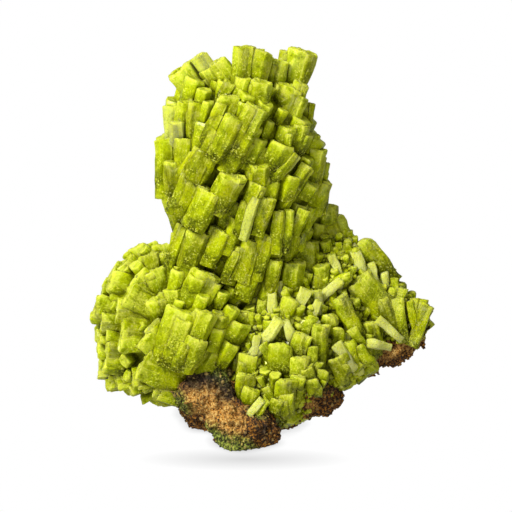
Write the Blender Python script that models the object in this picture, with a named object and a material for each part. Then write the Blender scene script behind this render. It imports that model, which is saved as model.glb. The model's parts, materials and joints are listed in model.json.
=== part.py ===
"""A pyromorphite specimen: a tower, a spray and an apron of stubby six-sided crystals on a limonite crust.

Lengths below are millimetres. Crystals are placed as the front view shows them: `across` runs to the
right and `up` runs up from the front foot of the crust, and `out` comes towards the viewer. The front
view looks down on the specimen by VIEW_TILT. The finished solids are in metres, +Z up, with the origin
in the flat cut face that the specimen stands on.
"""

import math
import random
from collections import namedtuple

import bmesh
import bpy
from mathutils import Matrix, Vector, noise

MM = 0.001
VIEW_TILT = math.radians(20)
FRONT_FOOT_Y = -20.0
NODE_GAP = 0.3
WELD = 1e-6
SAME_PLANE = math.radians(0.4)
GROUND_SIZE = 200.0
SMALLEST_PRISM = 2.3

# The front view looks down, so the crystals there tip this much further towards it.
FRONT_TIP = 11.0

# The shape of one crystal: a flattened six-sided prism with a slightly slanting or a domed end.
SIDES = 6
SECTION_DEPTH = 0.88
STOUTNESS = 1.1
END_SLANT = 0.12
DOME_RING = 0.66
DOME_DROP = 0.30
ROLL_SPREAD = 14.0

# The grown-together middles lie this far below the crystals' ends.
CORE_SINK = 1.6
TOWER_SINK = 2.9
TOWER_SIDES = 14
LUMP_DETAIL = 2
LUMP_PITCH = 1.9
LUMP_STRIDE = 7.3
MATRIX_ROUGH = 0.3

# The far side, which the front view hides: the tower's crystals stand in rings, and the spray's are
# spread over its far half as seeds are on a flower head. Pairs are the least and the most.
BACK_LEVELS = 6
BACK_LOWEST = 36.0
BACK_STEP = 7.4
BACK_ROUND = 5
BACK_SWEEP = 150.0
BACK_WIDE = (5.0, 7.6)
BACK_PROUD = (0.2, 1.6)
BACK_LONG = (8.0, 11.0)
BACK_FAN = 12.0
BACK_LEAN = 16.0
BACK_TIP = 24.0
BACK_UPRIGHT = -20.0
DOMED_SHARE = 0.3
SPRAY_BACK_COUNT = 16
SPRAY_BACK_REACH = 0.96
SPRAY_BACK_INNER = 0.45
SPRAY_BACK_WIDE = (3.8, 5.6)
SPRAY_BACK_LONG = 8.0
SPRAY_BACK_TIP = 0.8
UNEVEN_TURN = 8.0
UNEVEN_HEIGHT = 2.5
GOLDEN_TURN = math.radians(137.5)

CRYSTAL_GREEN = (0.42, 0.50, 0.02, 1.0)
LIMONITE_BROWN = (0.22, 0.11, 0.03, 1.0)

Crystal = namedtuple(
    "Crystal", "across up lean wide long toward proud flare dome", defaults=(0.0, 1.08, False)
)
Ring = namedtuple("Ring", "up across half_across half_deep")
Lump = namedtuple("Lump", "across up out half_across half_up half_out")

# The tower's outline: at each height, its middle and its half axes. It stands upright, this far
# behind the front foot.
TOWER_AXIS_BACK = 21.0
TOWER_RINGS = (
    Ring(33.0, 0.0, 11.0, 8.0),
    Ring(42.0, 0.4, 13.0, 9.5),
    Ring(50.0, 0.8, 15.6, 10.8),
    Ring(57.0, 0.6, 16.6, 11.4),
    Ring(64.0, -0.2, 15.2, 11.0),
    Ring(69.0, -0.4, 13.0, 9.5),
    Ring(72.0, 0.2, 8.5, 7.0),
)

# Lumps: the middle as the front view shows it, and the half axes.
FOOT_LUMPS = (Lump(-8.0, 27.0, -8.5, 8.2, 14.0, 10.5),)
SPRAY_LUMPS = (Lump(-17.5, 26.0, -13.0, 12.5, 16.0, 11.0),)
APRON_LUMPS = (
    Lump(8.5, 21.0, -8.5, 12.0, 17.0, 8.2),
    Lump(18.5, 31.0, -11.5, 9.5, 15.0, 7.0),
    Lump(18.0, 20.5, -10.0, 10.0, 9.5, 6.8),
    Lump(26.5, 28.5, -13.5, 9.0, 10.5, 6.0),
    Lump(33.2, 26.5, -15.2, 5.8, 6.0, 5.0),
)
MATRIX_LUMPS = (
    Lump(1.0, 14.5, -17.0, 15.5, 14.5, 13.5),
    Lump(0.5, 5.5, -5.0, 7.5, 6.0, 5.5),
    Lump(-7.0, 12.0, -7.0, 7.5, 6.5, 6.5),
    Lump(2.0, 30.0, -19.0, 13.0, 16.0, 9.0),
    Lump(-13.0, 20.0, -18.0, 8.0, 10.0, 7.5),
    Lump(13.0, 12.5, -10.5, 8.0, 6.5, 7.0),
    Lump(21.0, 18.0, -13.5, 7.5, 6.0, 6.5),
    Lump(20.0, 28.0, -17.0, 9.0, 10.0, 5.5),
    Lump(29.5, 22.5, -16.0, 6.8, 5.6, 5.4),
    Lump(34.6, 25.0, -16.6, 4.0, 4.4, 3.8),
)

# One row for each crystal of the tower: where the middle of its free end is seen, how far it leans to
# the right of upright, its width and length, how far its end tips towards the viewer, and how far it
# stands proud of the tower's skin.
TOWER = (
    Crystal(-12.0, 76.4, -38, 5.8, 15, 6, -2.0, 1.2),
    Crystal(-8.6, 79.0, -36, 3.4, 14, 6, -1.5),
    Crystal(-4.6, 77.8, -38, 4.0, 11, 6, -2.0),
    Crystal(0.6, 80.6, 8, 3.0, 14, 6, -3.0, 1.15),
    Crystal(3.8, 80.0, 14, 3.8, 14, 5, -3.4, 1.15),
    Crystal(7.8, 78.0, 12, 3.6, 12, 7, -4.0),
    Crystal(12.6, 80.6, 17, 5.8, 15, 4, -2.5, 1.4),
    Crystal(4.2, 73.6, 8, 4.2, 7, 35, -1.0),
    Crystal(10.2, 72.4, 16, 6.2, 12, 12, 0.6),
    Crystal(11.8, 73.4, 16, 2.8, 6, 14, 1.4),
    Crystal(13.6, 70.0, 10, 2.0, 6, 0, -1.0),
    Crystal(3.4, 68.6, 27, 4.2, 9, 18, 0.0),
    Crystal(-0.8, 66.6, 28, 3.6, 10, 12, 0.5),
    Crystal(-5.8, 65.0, 15, 1.8, 5, 10, 0.0),
    Crystal(-3.6, 67.4, 30, 2.6, 6, 8, -1.2),
    Crystal(-4.2, 64.0, 27, 3.2, 8, 14, 0.0),
    Crystal(-1.8, 70.8, 20, 4.0, 6, 28, -0.5),
    Crystal(-1.8, 73.2, 25, 2.0, 4, 20, -1.5),
    Crystal(0.4, 74.0, 10, 2.6, 7, 10, -2.0),
    Crystal(-13.6, 69.0, -3, 3.0, 7, 0, 0.0),
    Crystal(-10.6, 69.8, -4, 2.8, 7, 8, -0.5),
    Crystal(-12.2, 65.8, -2, 2.9, 5, 8, 1.0),
    Crystal(-8.0, 69.0, 3, 4.4, 10, 5, -2.5),
    Crystal(-14.8, 62.6, -1, 4.2, 12, 0, 0.5),
    Crystal(-11.2, 62.6, 0, 3.2, 7, 8, 0.3),
    Crystal(-12.6, 58.0, 2, 4.2, 8, 6, 1.0),
    Crystal(-6.4, 60.0, 28, 5.2, 8, 22, 0.0, 1.08, True),
    Crystal(-6.8, 57.2, 28, 2.0, 5, 22, 0.8, 1.0, True),
    Crystal(-8.8, 59.4, 35, 2.6, 7, 10, -0.2),
    Crystal(0.8, 62.4, 30, 3.6, 8, 12, 0.0),
    Crystal(-1.0, 55.4, 28, 5.4, 9, 20, 0.0),
    Crystal(-9.4, 55.2, 25, 4.4, 9, 14, 0.6),
    Crystal(-5.8, 52.2, 27, 5.4, 9, 22, 1.0),
    Crystal(-13.4, 50.4, -20, 2.6, 6, 5, 0.0),
    Crystal(-2.8, 49.2, 15, 1.8, 5, 8, -1.5),
    Crystal(-7.8, 44.4, 22, 4.8, 8, 16, 1.2),
    Crystal(-11.2, 45.2, 18, 2.6, 9, 3, 0.4),
    Crystal(-3.8, 44.6, 22, 4.2, 8, 18, 0.0),
    Crystal(4.4, 61.0, 5, 4.2, 6, 18, -1.8),
    Crystal(3.8, 57.4, 4, 4.4, 6, 42, -0.6, 1.0, True),
    Crystal(10.0, 60.2, 38, 4.2, 9, 6, -0.2),
    Crystal(11.2, 59.4, 38, 2.0, 6, 14, 0.6),
    Crystal(13.4, 57.4, 33, 2.6, 9.5, 8, 0.6),
    Crystal(12.0, 65.4, 15, 3.8, 7, 15, 0.0),
    Crystal(9.8, 63.4, 12, 1.6, 5, 10, 0.3),
    Crystal(14.8, 63.4, 15, 2.2, 5, 18, 0.0, 1.0, True),
    Crystal(15.2, 60.8, 12, 4.2, 8, 5, -0.5),
    Crystal(17.0, 58.0, 6, 1.8, 6, 0, -0.5),
    Crystal(16.0, 54.2, 20, 4.8, 7, 12, 0.0),
    Crystal(3.4, 53.8, 20, 4.2, 6, 15, -0.5),
    Crystal(3.2, 50.8, 18, 1.9, 9, 6, 0.8),
    Crystal(5.6, 50.6, 18, 3.0, 8, 8, 0.4),
    Crystal(1.2, 50.0, 18, 1.9, 7, 10, 0.2),
    Crystal(-0.6, 46.8, 20, 2.8, 8, 15, -0.5),
    Crystal(2.2, 42.6, 15, 3.6, 9, 8, -0.3),
    Crystal(5.8, 43.4, 20, 3.8, 9.5, 10, 0.3),
    Crystal(3.2, 38.6, 20, 4.0, 9, 12, 0.4),
    Crystal(0.2, 41.0, 22, 3.6, 8, 10, -0.4),
    Crystal(6.2, 35.0, 15, 3.4, 7, 12, 0.8),
    Crystal(7.6, 48.4, 4, 2.6, 9, 6, 0.0),
    Crystal(9.8, 48.6, 8, 2.2, 9, 6, 0.0),
    Crystal(12.6, 48.6, 20, 2.6, 10, 8, 0.3),
    Crystal(14.4, 49.0, 18, 1.9, 9, 4, -0.3),
    Crystal(10.2, 43.0, 20, 2.8, 7, 8, -1.6),
    Crystal(10.6, 38.4, 8, 4.8, 8, 16, 0.6),
    Crystal(13.4, 42.0, 12, 2.6, 9, 14, 0.4, 1.0, True),
    Crystal(7.0, 38.6, 12, 2.9, 7, 12, 0.9),
)

# The swollen foot of the tower, at its lower left.
FOOT = (
    Crystal(-5.2, 37.8, 25, 3.0, 5, 20, 0.0),
    Crystal(-1.8, 37.4, 20, 2.8, 7, 12, -2.0),
    Crystal(-6.6, 36.0, 24, 5.6, 9.5, 20, 1.2),
    Crystal(-11.2, 36.8, 22, 2.8, 8, 10, 0.8),
    Crystal(-2.2, 34.6, 22, 2.8, 7, 12, -1.5),
    Crystal(-1.4, 31.6, 22, 3.2, 9, 15, -0.5),
    Crystal(-13.4, 32.8, -8, 3.6, 6, 12, 0.8),
    Crystal(-7.2, 28.6, 15, 3.4, 8, 26, 0.8),
    Crystal(-5.2, 28.2, 15, 2.2, 8, 24, 0.5),
    Crystal(-3.4, 26.6, 18, 2.2, 7, 18, 0.0),
    Crystal(-11.6, 28.2, 5, 5.0, 9, 26, 0.8),
    Crystal(-14.8, 39.8, 28, 1.6, 8, 2, 0.5),
    Crystal(-13.0, 41.2, 20, 2.4, 9, 2, 0.2),
)

# The rosette that points left.
SPRAY = (
    Crystal(-16.4, 41.4, -4, 4.4, 9, -6, 0.0, 1.0, True),
    Crystal(-20.4, 41.2, -22, 3.8, 9, -4, 0.0),
    Crystal(-23.4, 38.4, -50, 3.8, 9, -4, 0.0),
    Crystal(-26.0, 34.4, -74, 4.6, 10, -2, 0.0, 1.0, True),
    Crystal(-24.4, 31.8, -60, 4.4, 8, 16, 0.6),
    Crystal(-28.8, 29.4, -72, 4.6, 10, -3, 0.0),
    Crystal(-27.6, 25.8, -88, 3.4, 8, -2, 0.0),
    Crystal(-24.0, 27.2, -82, 5.0, 8, 20, 1.6),
    Crystal(-24.4, 23.6, -80, 3.8, 8, 14, 1.0),
    Crystal(-18.0, 33.6, -20, 5.4, 7, 42, 0.5, 1.0, True),
    Crystal(-21.0, 36.6, -30, 4.4, 8, 24, 0.0, 1.0, True),
    Crystal(-15.4, 30.4, 5, 4.6, 7, 40, 0.5),
    Crystal(-28.2, 23.6, -84, 2.6, 8, -3, 0.0),
    Crystal(-28.6, 21.4, -84, 3.2, 9, -3, 0.0),
    Crystal(-26.6, 19.8, -84, 4.4, 8, 16, 1.4),
    Crystal(-28.4, 17.4, -92, 2.8, 9, -2, 0.0),
    Crystal(-26.4, 15.8, -95, 3.4, 9, 14, 1.0),
    Crystal(-27.4, 13.6, -97, 2.6, 9, -3, 0.0),
    Crystal(-25.2, 13.2, -100, 3.4, 9, -2, 0.2),
    Crystal(-18.0, 24.4, -45, 5.4, 7, 40, 1.0),
    Crystal(-18.6, 19.4, -60, 6.6, 8, 26, 1.8),
    Crystal(-14.6, 21.0, -50, 4.4, 7, 30, 1.0),
    Crystal(-17.4, 14.6, -60, 4.6, 8, 24, 1.2),
    Crystal(-17.0, 11.4, -140, 4.0, 7, 14, 0.0),
    Crystal(-21.6, 14.0, -105, 3.8, 8, 16, 1.2),
)

# The broad blades and slender prisms of the apron on the right.
APRON = (
    Crystal(18.0, 49.4, 4, 3.4, 7, 8, -0.5),
    Crystal(18.4, 47.0, -28, 4.6, 12, 4, -1.5),
    Crystal(16.0, 46.0, 5, 3.0, 10, 4, -1.0),
    Crystal(20.6, 41.6, -10, 3.4, 8, 5, -1.0),
    Crystal(23.8, 42.2, -39, 4.8, 11, -12, -2.4, 1.0, True),
    Crystal(23.0, 40.2, -20, 1.9, 7, 4, -0.5),
    Crystal(26.0, 38.0, -18, 1.9, 6, 4, -0.4),
    Crystal(29.0, 36.0, -4, 1.5, 5, 5, -0.6),
    Crystal(30.8, 35.0, -12, 1.7, 5, 5, -0.6),
    Crystal(23.6, 34.8, -40, 5.2, 10, 14, 0.0),
    Crystal(28.0, 31.0, -25, 3.2, 7, 12, 0.6),
    Crystal(31.4, 30.8, -8, 2.5, 7, 6, 0.8),
    Crystal(34.0, 30.4, -10, 1.6, 5, 4, 0.2),
    Crystal(32.8, 33.0, 20, 2.2, 6, 0, -1.0),
    Crystal(35.2, 30.8, 0, 2.0, 5.5, 0, -0.4),
    Crystal(36.6, 30.6, 6, 2.2, 6, 0, -0.6),
    Crystal(37.8, 29.4, 24, 2.6, 7, -6, -0.8),
    Crystal(27.4, 26.8, -50, 1.6, 5.5, 8, 1.4),
    Crystal(25.8, 26.2, -10, 3.2, 6, 24, 0.8, 1.0, True),
    Crystal(25.2, 22.2, -78, 1.9, 5.5, 12, 0.8),
    Crystal(21.6, 22.2, -22, 2.2, 5.5, 14, 0.8),
    Crystal(23.4, 21.2, -35, 2.4, 5, 16, 0.6),
    Crystal(16.2, 37.8, -4, 3.3, 8, 12, 0.4),
    Crystal(18.0, 39.6, -22, 1.5, 6, 6, 0.8),
    Crystal(20.6, 34.4, 55, 2.1, 6, 12, 1.2),
    Crystal(22.0, 35.4, 72, 2.0, 5.5, 8, 0.4),
    Crystal(13.4, 36.4, 8, 2.5, 6, 20, 0.6),
    Crystal(13.4, 32.6, 28, 2.4, 7, 6, 1.4),
    Crystal(15.4, 32.6, -8, 1.7, 5, 10, 1.4, 1.0, True),
    Crystal(16.0, 30.2, 25, 1.7, 5.5, 10, 1.4),
    Crystal(14.6, 27.4, 25, 2.2, 6, 14, 1.6, 1.0, True),
    Crystal(6.4, 32.0, -4, 1.8, 7, 10, 1.0),
    Crystal(8.0, 34.2, 0, 1.5, 5, 12, 0.4),
    Crystal(8.8, 32.4, -20, 1.6, 5, 18, 0.8),
    Crystal(10.0, 30.8, 15, 3.2, 6, 28, 0.8, 1.0, True),
    Crystal(19.8, 31.2, -27, 3.4, 8, 10, 1.2),
    Crystal(19.6, 25.2, 0, 2.6, 5.5, 26, 1.6, 1.0, True),
    Crystal(18.2, 27.6, 12, 3.4, 6, 22, 0.9, 1.0, True),
    Crystal(22.2, 24.8, -35, 2.2, 5.5, 18, 1.2),
    Crystal(16.4, 25.6, 9, 3.1, 8, 14, 2.2, 0.9, True),
    Crystal(14.4, 21.4, 6, 2.1, 6, 16, 2.0, 1.0, True),
    Crystal(7.4, 26.8, 32, 2.5, 7, 8, 1.6),
    Crystal(8.8, 26.6, -20, 1.9, 6, 8, 1.3),
    Crystal(3.6, 23.8, 12, 1.6, 6, 8, 1.4),
    Crystal(4.6, 22.0, -28, 2.1, 5.5, 16, 1.4),
    Crystal(1.4, 28.4, 6, 3.6, 9, 6, 0.2),
    Crystal(4.6, 30.8, 0, 2.0, 5, 24, 0.0),
    Crystal(1.6, 35.2, 25, 2.2, 7, 8, -0.5),
    Crystal(4.4, 34.0, 40, 1.8, 6, 10, 0.3),
    Crystal(12.0, 23.8, 12, 3.8, 6, 20, 1.2),
    Crystal(8.2, 21.8, 2, 5.0, 7, 34, 1.8, 1.0, True),
    Crystal(9.0, 14.8, 3, 4.0, 6, 34, 1.8, 1.0, True),
    Crystal(9.2, 12.0, -6, 3.2, 5, 30, 1.6),
    Crystal(15.2, 15.6, 60, 2.6, 6, 15, 0.8),
    Crystal(4.4, 10.8, 40, 1.6, 5.5, 8, 2.2),
    Crystal(5.6, 10.8, 40, 1.8, 5.5, 8, 1.4),
    Crystal(4.2, 7.8, 4, 1.5, 4.5, 10, 1.4),
    Crystal(19.2, 22.0, -38, 2.2, 7, 10, 1.8),
    Crystal(5.2, 13.4, -25, 1.6, 5, 12, 1.6),
    Crystal(1.8, 19.8, 8, 4.0, 7, 24, 0.4),
    Crystal(1.2, 16.2, 5, 3.6, 6, 28, 0.6),
    Crystal(2.2, 13.0, 10, 3.4, 6, 32, 0.8, 1.0, True),
    Crystal(12.0, 19.0, 5, 3.6, 6, 30, 1.6, 1.0, True),
    Crystal(18.8, 19.0, -20, 2.8, 6, 26, 1.0, 1.0, True),
)


def seen_point(across, up, out):
    """The place in the finished specimen, in metres, of a point of the front view."""
    back = up * math.sin(VIEW_TILT) - out * math.cos(VIEW_TILT)
    height = up * math.cos(VIEW_TILT) + out * math.sin(VIEW_TILT)
    return Vector((across, back + FRONT_FOOT_Y, height)) * MM


def seen_direction(lean, toward):
    """The unit direction that a crystal points in, from its lean and its tip towards the viewer."""
    lean, toward = math.radians(lean), math.radians(toward)
    flat = math.cos(toward)
    tip = seen_point(math.sin(lean) * flat, math.cos(lean) * flat, math.sin(toward))
    return (tip - seen_point(0, 0, 0)).normalized()


def tower_ring(up):
    """The tower's middle (across, out) and half axes at a height of the front view."""
    low, high = TOWER_RINGS[0], TOWER_RINGS[-1]
    for below, above in zip(TOWER_RINGS, TOWER_RINGS[1:]):
        if below.up <= up <= above.up:
            low, high = below, above
    share = min(1.0, max(0.0, (up - low.up) / (high.up - low.up)))
    across, half_across, half_deep = (
        a + (b - a) * share for a, b in zip(low[1:], high[1:])
    )
    out = (up * math.sin(VIEW_TILT) - TOWER_AXIS_BACK) / math.cos(VIEW_TILT)
    return across, out, half_across, half_deep


def tower_skin(across, up):
    """How far out the tower's front lies."""
    middle, out, half_across, half_deep = tower_ring(up)
    share = min(1.0, abs(across - middle) / half_across)
    return out + half_deep * math.sqrt(1 - share**2)


def lump_skin(lumps):
    """A function that says how far out the front of these lumps lies."""

    def skin(across, up):
        outs = []
        for lump in lumps:
            share = ((across - lump.across) / lump.half_across) ** 2
            share += ((up - lump.up) / lump.half_up) ** 2
            outs.append(lump.out + lump.half_out * math.sqrt(max(0.0, 1 - share)))
        return max(outs)

    return skin


def placed(rows, skin, seed):
    """Every crystal of the rows with its end's place and its turn about its own axis."""
    dice = random.Random(seed)
    for row in rows:
        roll = dice.uniform(-ROLL_SPREAD, ROLL_SPREAD)
        if row.wide >= SMALLEST_PRISM:
            out = skin(row.across, row.up) + row.proud
            tipped = row._replace(toward=row.toward + FRONT_TIP)
            yield tipped, seen_point(row.across, row.up, out), roll


def tower_back(seed):
    """The crystals round the far side of the tower, in rings whose crystals alternate."""
    dice = random.Random(seed)
    for level in range(BACK_LEVELS):
        up = BACK_LOWEST + level * BACK_STEP
        middle, out, half_across, half_deep = tower_ring(up)
        for place in range(BACK_ROUND):
            share = (place + 0.5 * (level % 2)) / (BACK_ROUND - 0.5) - 0.5
            turn = math.radians(BACK_SWEEP * share + dice.uniform(-UNEVEN_TURN, UNEVEN_TURN))
            wide = dice.uniform(*BACK_WIDE)
            proud = dice.uniform(*BACK_PROUD)
            across = middle + (half_across + proud - wide / 3) * math.sin(turn)
            depth = out - (half_deep + proud) * math.cos(turn)
            height = up + dice.uniform(-UNEVEN_HEIGHT, UNEVEN_HEIGHT)
            lean = BACK_FAN * math.sin(turn) + dice.uniform(-BACK_LEAN, BACK_LEAN)
            tip = BACK_UPRIGHT - BACK_TIP * math.cos(turn) + dice.uniform(-UNEVEN_TURN, UNEVEN_TURN)
            long = dice.uniform(*BACK_LONG)
            domed = dice.random() < DOMED_SHARE
            row = Crystal(across, height, lean, wide, long, tip, dome=domed)
            yield row, seen_point(across, height, depth), dice.uniform(-ROLL_SPREAD, ROLL_SPREAD)


def spray_back(seed):
    """The crystals on the far side of the rosette."""
    dice = random.Random(seed)
    lump = SPRAY_LUMPS[0]
    for place in range(SPRAY_BACK_COUNT):
        radius = SPRAY_BACK_REACH * math.sqrt((place + 0.5) / SPRAY_BACK_COUNT)
        right = radius * math.cos(place * GOLDEN_TURN)
        above = radius * math.sin(place * GOLDEN_TURN)
        behind = math.sqrt(1 - radius**2)
        if right > SPRAY_BACK_INNER:
            continue
        across = lump.across + lump.half_across * right
        up = lump.up + lump.half_up * above
        out = lump.out - lump.half_out * behind
        lean = math.degrees(math.atan2(right, above)) + dice.uniform(-ROLL_SPREAD, ROLL_SPREAD)
        tip = -SPRAY_BACK_TIP * math.degrees(math.asin(behind)) + dice.uniform(-UNEVEN_TURN, UNEVEN_TURN)
        wide = dice.uniform(*SPRAY_BACK_WIDE)
        domed = dice.random() < DOMED_SHARE
        row = Crystal(across, up, lean, wide, SPRAY_BACK_LONG, tip, dome=domed)
        yield row, seen_point(across, up, out), dice.uniform(-ROLL_SPREAD, ROLL_SPREAD)


TOWARDS_VIEWER = (seen_point(0, 0, 1) - seen_point(0, 0, 0)).normalized()


def sunk(lumps):
    """The lumps drawn in by CORE_SINK, so that the crystals' ends stand proud of them."""
    return tuple(
        Lump(
            lump.across,
            lump.up,
            lump.out,
            lump.half_across - CORE_SINK,
            lump.half_up - CORE_SINK,
            lump.half_out - CORE_SINK,
        )
        for lump in lumps
    )


def add_prism(bm, row, end, roll, grow=0.0):
    """Adds one six-sided crystal: its free end is at `end`, and its root lies `row.long` behind it."""
    direction = seen_direction(row.lean, row.toward)
    side = direction.cross(TOWARDS_VIEWER).normalized()
    front = side.cross(direction)
    half = STOUTNESS * row.wide / 2
    slant = END_SLANT * half
    root = (-row.long - grow, half / row.flare + grow, 0.0)
    if row.dome:
        shoulder = (-DOME_DROP * row.wide, half + grow, 0.0)
        rings = (root, shoulder, (grow, half * DOME_RING + grow, 0.0))
    else:
        rings = (root, (grow, half + grow, slant))
    loops = []
    for along, radius, rise in rings:
        loop = []
        for step in range(SIDES):
            turn = math.radians(roll) + step * math.tau / SIDES
            offset = side * math.cos(turn) + front * math.sin(turn) * SECTION_DEPTH
            lift = along + rise * math.cos(turn)
            loop.append(bm.verts.new(end + (offset * radius + direction * lift) * MM))
        loops.append(loop)
    bm.faces.new(reversed(loops[0]))
    bm.faces.new(loops[-1])
    for low, high in zip(loops, loops[1:]):
        for step in range(SIDES):
            after = (step + 1) % SIDES
            bm.faces.new((low[step], low[after], high[after], high[step]))


def add_lump(bm, lump, seed, rough, grow=0.0):
    """Adds an uneven rounded lump, placed as the front view shows it."""
    made = bmesh.ops.create_icosphere(bm, subdivisions=LUMP_DETAIL, radius=1.0)["verts"]
    for vert in made:
        swell = 1 + rough * noise.noise(vert.co * LUMP_PITCH + Vector((seed * LUMP_STRIDE, 0, 0)))
        across = lump.across + vert.co.x * (lump.half_across * swell + grow)
        up = lump.up + vert.co.y * (lump.half_up * swell + grow)
        out = lump.out + vert.co.z * (lump.half_out * swell + grow)
        vert.co = seen_point(across, up, out)


def add_tower_core(bm, grow=0.0):
    """Adds the grown-together middle of the tower, which the crystals' roots lie in."""
    loops = []
    for ring in TOWER_RINGS:
        across, out, half_across, half_deep = tower_ring(ring.up)
        loop = []
        for step in range(TOWER_SIDES):
            turn = step * math.tau / TOWER_SIDES
            x = across + (half_across - TOWER_SINK + grow) * math.cos(turn)
            z = out + (half_deep - TOWER_SINK + grow) * math.sin(turn)
            loop.append(bm.verts.new(seen_point(x, ring.up, z)))
        loops.append(loop)
    bm.faces.new(reversed(loops[0]))
    bm.faces.new(loops[-1])
    for low, high in zip(loops, loops[1:]):
        for step in range(TOWER_SIDES):
            after = (step + 1) % TOWER_SIDES
            bm.faces.new((low[step], low[after], high[after], high[step]))


def material(name, colour, roughness):
    made = bpy.data.materials.new(name)
    made.use_nodes = True
    shader = made.node_tree.nodes["Principled BSDF"]
    shader.inputs["Base Color"].default_value = colour
    shader.inputs["Roughness"].default_value = roughness
    shader.inputs["Metallic"].default_value = 0.0
    return made


def mesh_object(name, bm):
    bmesh.ops.recalc_face_normals(bm, faces=bm.faces)
    mesh = bpy.data.meshes.new(name)
    bm.to_mesh(mesh)
    bm.free()
    obj = bpy.data.objects.new(name, mesh)
    bpy.context.scene.collection.objects.link(obj)
    return obj


def applied_boolean(obj, other, operation):
    """Joins `other` to the object, or cuts it away, and keeps the result as the object's mesh."""
    modifier = obj.modifiers.new(operation.lower(), "BOOLEAN")
    modifier.operation = operation
    modifier.object = other
    modifier.use_self = True
    graph = bpy.context.evaluated_depsgraph_get()
    result = bpy.data.meshes.new_from_object(obj.evaluated_get(graph))
    obj.modifiers.clear()
    obj.data = result
    bpy.data.objects.remove(other)


def keep_largest_body(obj):
    """Drops the crumbs that a cut leaves, so that the node is one closed body."""
    bm = bmesh.new()
    bm.from_mesh(obj.data)
    bmesh.ops.remove_doubles(bm, verts=bm.verts, dist=WELD)
    bmesh.ops.dissolve_degenerate(bm, edges=bm.edges, dist=WELD)
    unseen = set(bm.faces)
    bodies = []
    while unseen:
        body = set()
        reached = [next(iter(unseen))]
        while reached:
            face = reached.pop()
            if face in unseen:
                unseen.discard(face)
                body.add(face)
                reached.extend(near for edge in face.edges for near in edge.link_faces)
        bodies.append(body)
    bodies.sort(key=len)
    for body in bodies[:-1]:
        bmesh.ops.delete(bm, geom=list(body), context="FACES")
    bmesh.ops.dissolve_limit(bm, angle_limit=SAME_PLANE, verts=bm.verts, edges=bm.edges)
    bm.to_mesh(obj.data)
    bm.free()


class Growth:
    """One grown-together body: its crystals, and the lumps or the core that their roots lie in."""

    def __init__(self, name, crystals, lumps=(), has_tower_core=False, rough=0.0):
        self.name = name
        self.crystals = list(crystals)
        self.lumps = lumps
        self.has_tower_core = has_tower_core
        self.rough = rough

    def shape(self, name, grow=0.0):
        """All of its pieces in one mesh, still overlapping, each swollen by `grow`."""
        bm = bmesh.new()
        if self.has_tower_core:
            add_tower_core(bm, grow)
        for seed, lump in enumerate(self.lumps):
            add_lump(bm, lump, seed, self.rough, grow)
        for row, end, roll in self.crystals:
            add_prism(bm, row, end, roll, grow)
        return mesh_object(name, bm)

    def build(self, neighbours, finish):
        """The joined solid, parted from the neighbours that it meets by NODE_GAP."""
        obj = self.shape(self.name)
        for neighbour in neighbours:
            applied_boolean(obj, neighbour.shape("cutter", NODE_GAP), "DIFFERENCE")
        applied_boolean(obj, ground_block(), "DIFFERENCE")
        keep_largest_body(obj)
        obj.data.materials.clear()
        obj.data.materials.append(finish)


def ground_block():
    """The block below the flat cut that the specimen stands on."""
    bm = bmesh.new()
    made = bmesh.ops.create_cube(bm, size=GROUND_SIZE * MM)["verts"]
    bmesh.ops.translate(bm, verts=made, vec=(0, 0, -GROUND_SIZE * MM / 2))
    return mesh_object("ground", bm)


def main():
    for obj in list(bpy.data.objects):
        bpy.data.objects.remove(obj)
    green = material("pyromorphite", CRYSTAL_GREEN, 0.35)
    brown = material("limonite", LIMONITE_BROWN, 0.85)
    tower_rows = [
        *placed(TOWER, tower_skin, seed=1),
        *placed(FOOT, lump_skin(FOOT_LUMPS), seed=2),
        *tower_back(seed=3),
    ]
    spray_rows = [*placed(SPRAY, lump_skin(SPRAY_LUMPS), seed=4), *spray_back(seed=5)]
    apron_rows = placed(APRON, lump_skin(APRON_LUMPS), seed=6)
    tower = Growth("crystal_tower", tower_rows, sunk(FOOT_LUMPS), has_tower_core=True)
    spray = Growth("crystal_spray", spray_rows, sunk(SPRAY_LUMPS))
    apron = Growth("crystal_apron", apron_rows, sunk(APRON_LUMPS))
    matrix = Growth("matrix", (), MATRIX_LUMPS, rough=MATRIX_ROUGH)
    tower.build((), green)
    spray.build((tower,), green)
    apron.build((tower, spray), green)
    matrix.build((tower, spray, apron), brown)


main()
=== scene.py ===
"""A pyromorphite specimen, finished: waxy yellow-green crystals on a sandy limonite crust.

Lengths are millimetres unless a name says otherwise. As in the solids, a crystal is placed by what
the front view shows: `across` to the right and `up` from the front foot, `out` towards the viewer,
with the view looking down by VIEW_TILT. The meshes are in metres, +Z up. Pairs of numbers are the
least and the most.
"""

import json
import math
import random
from collections import namedtuple

import bmesh
import bpy
import numpy as np
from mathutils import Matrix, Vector, noise

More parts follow.
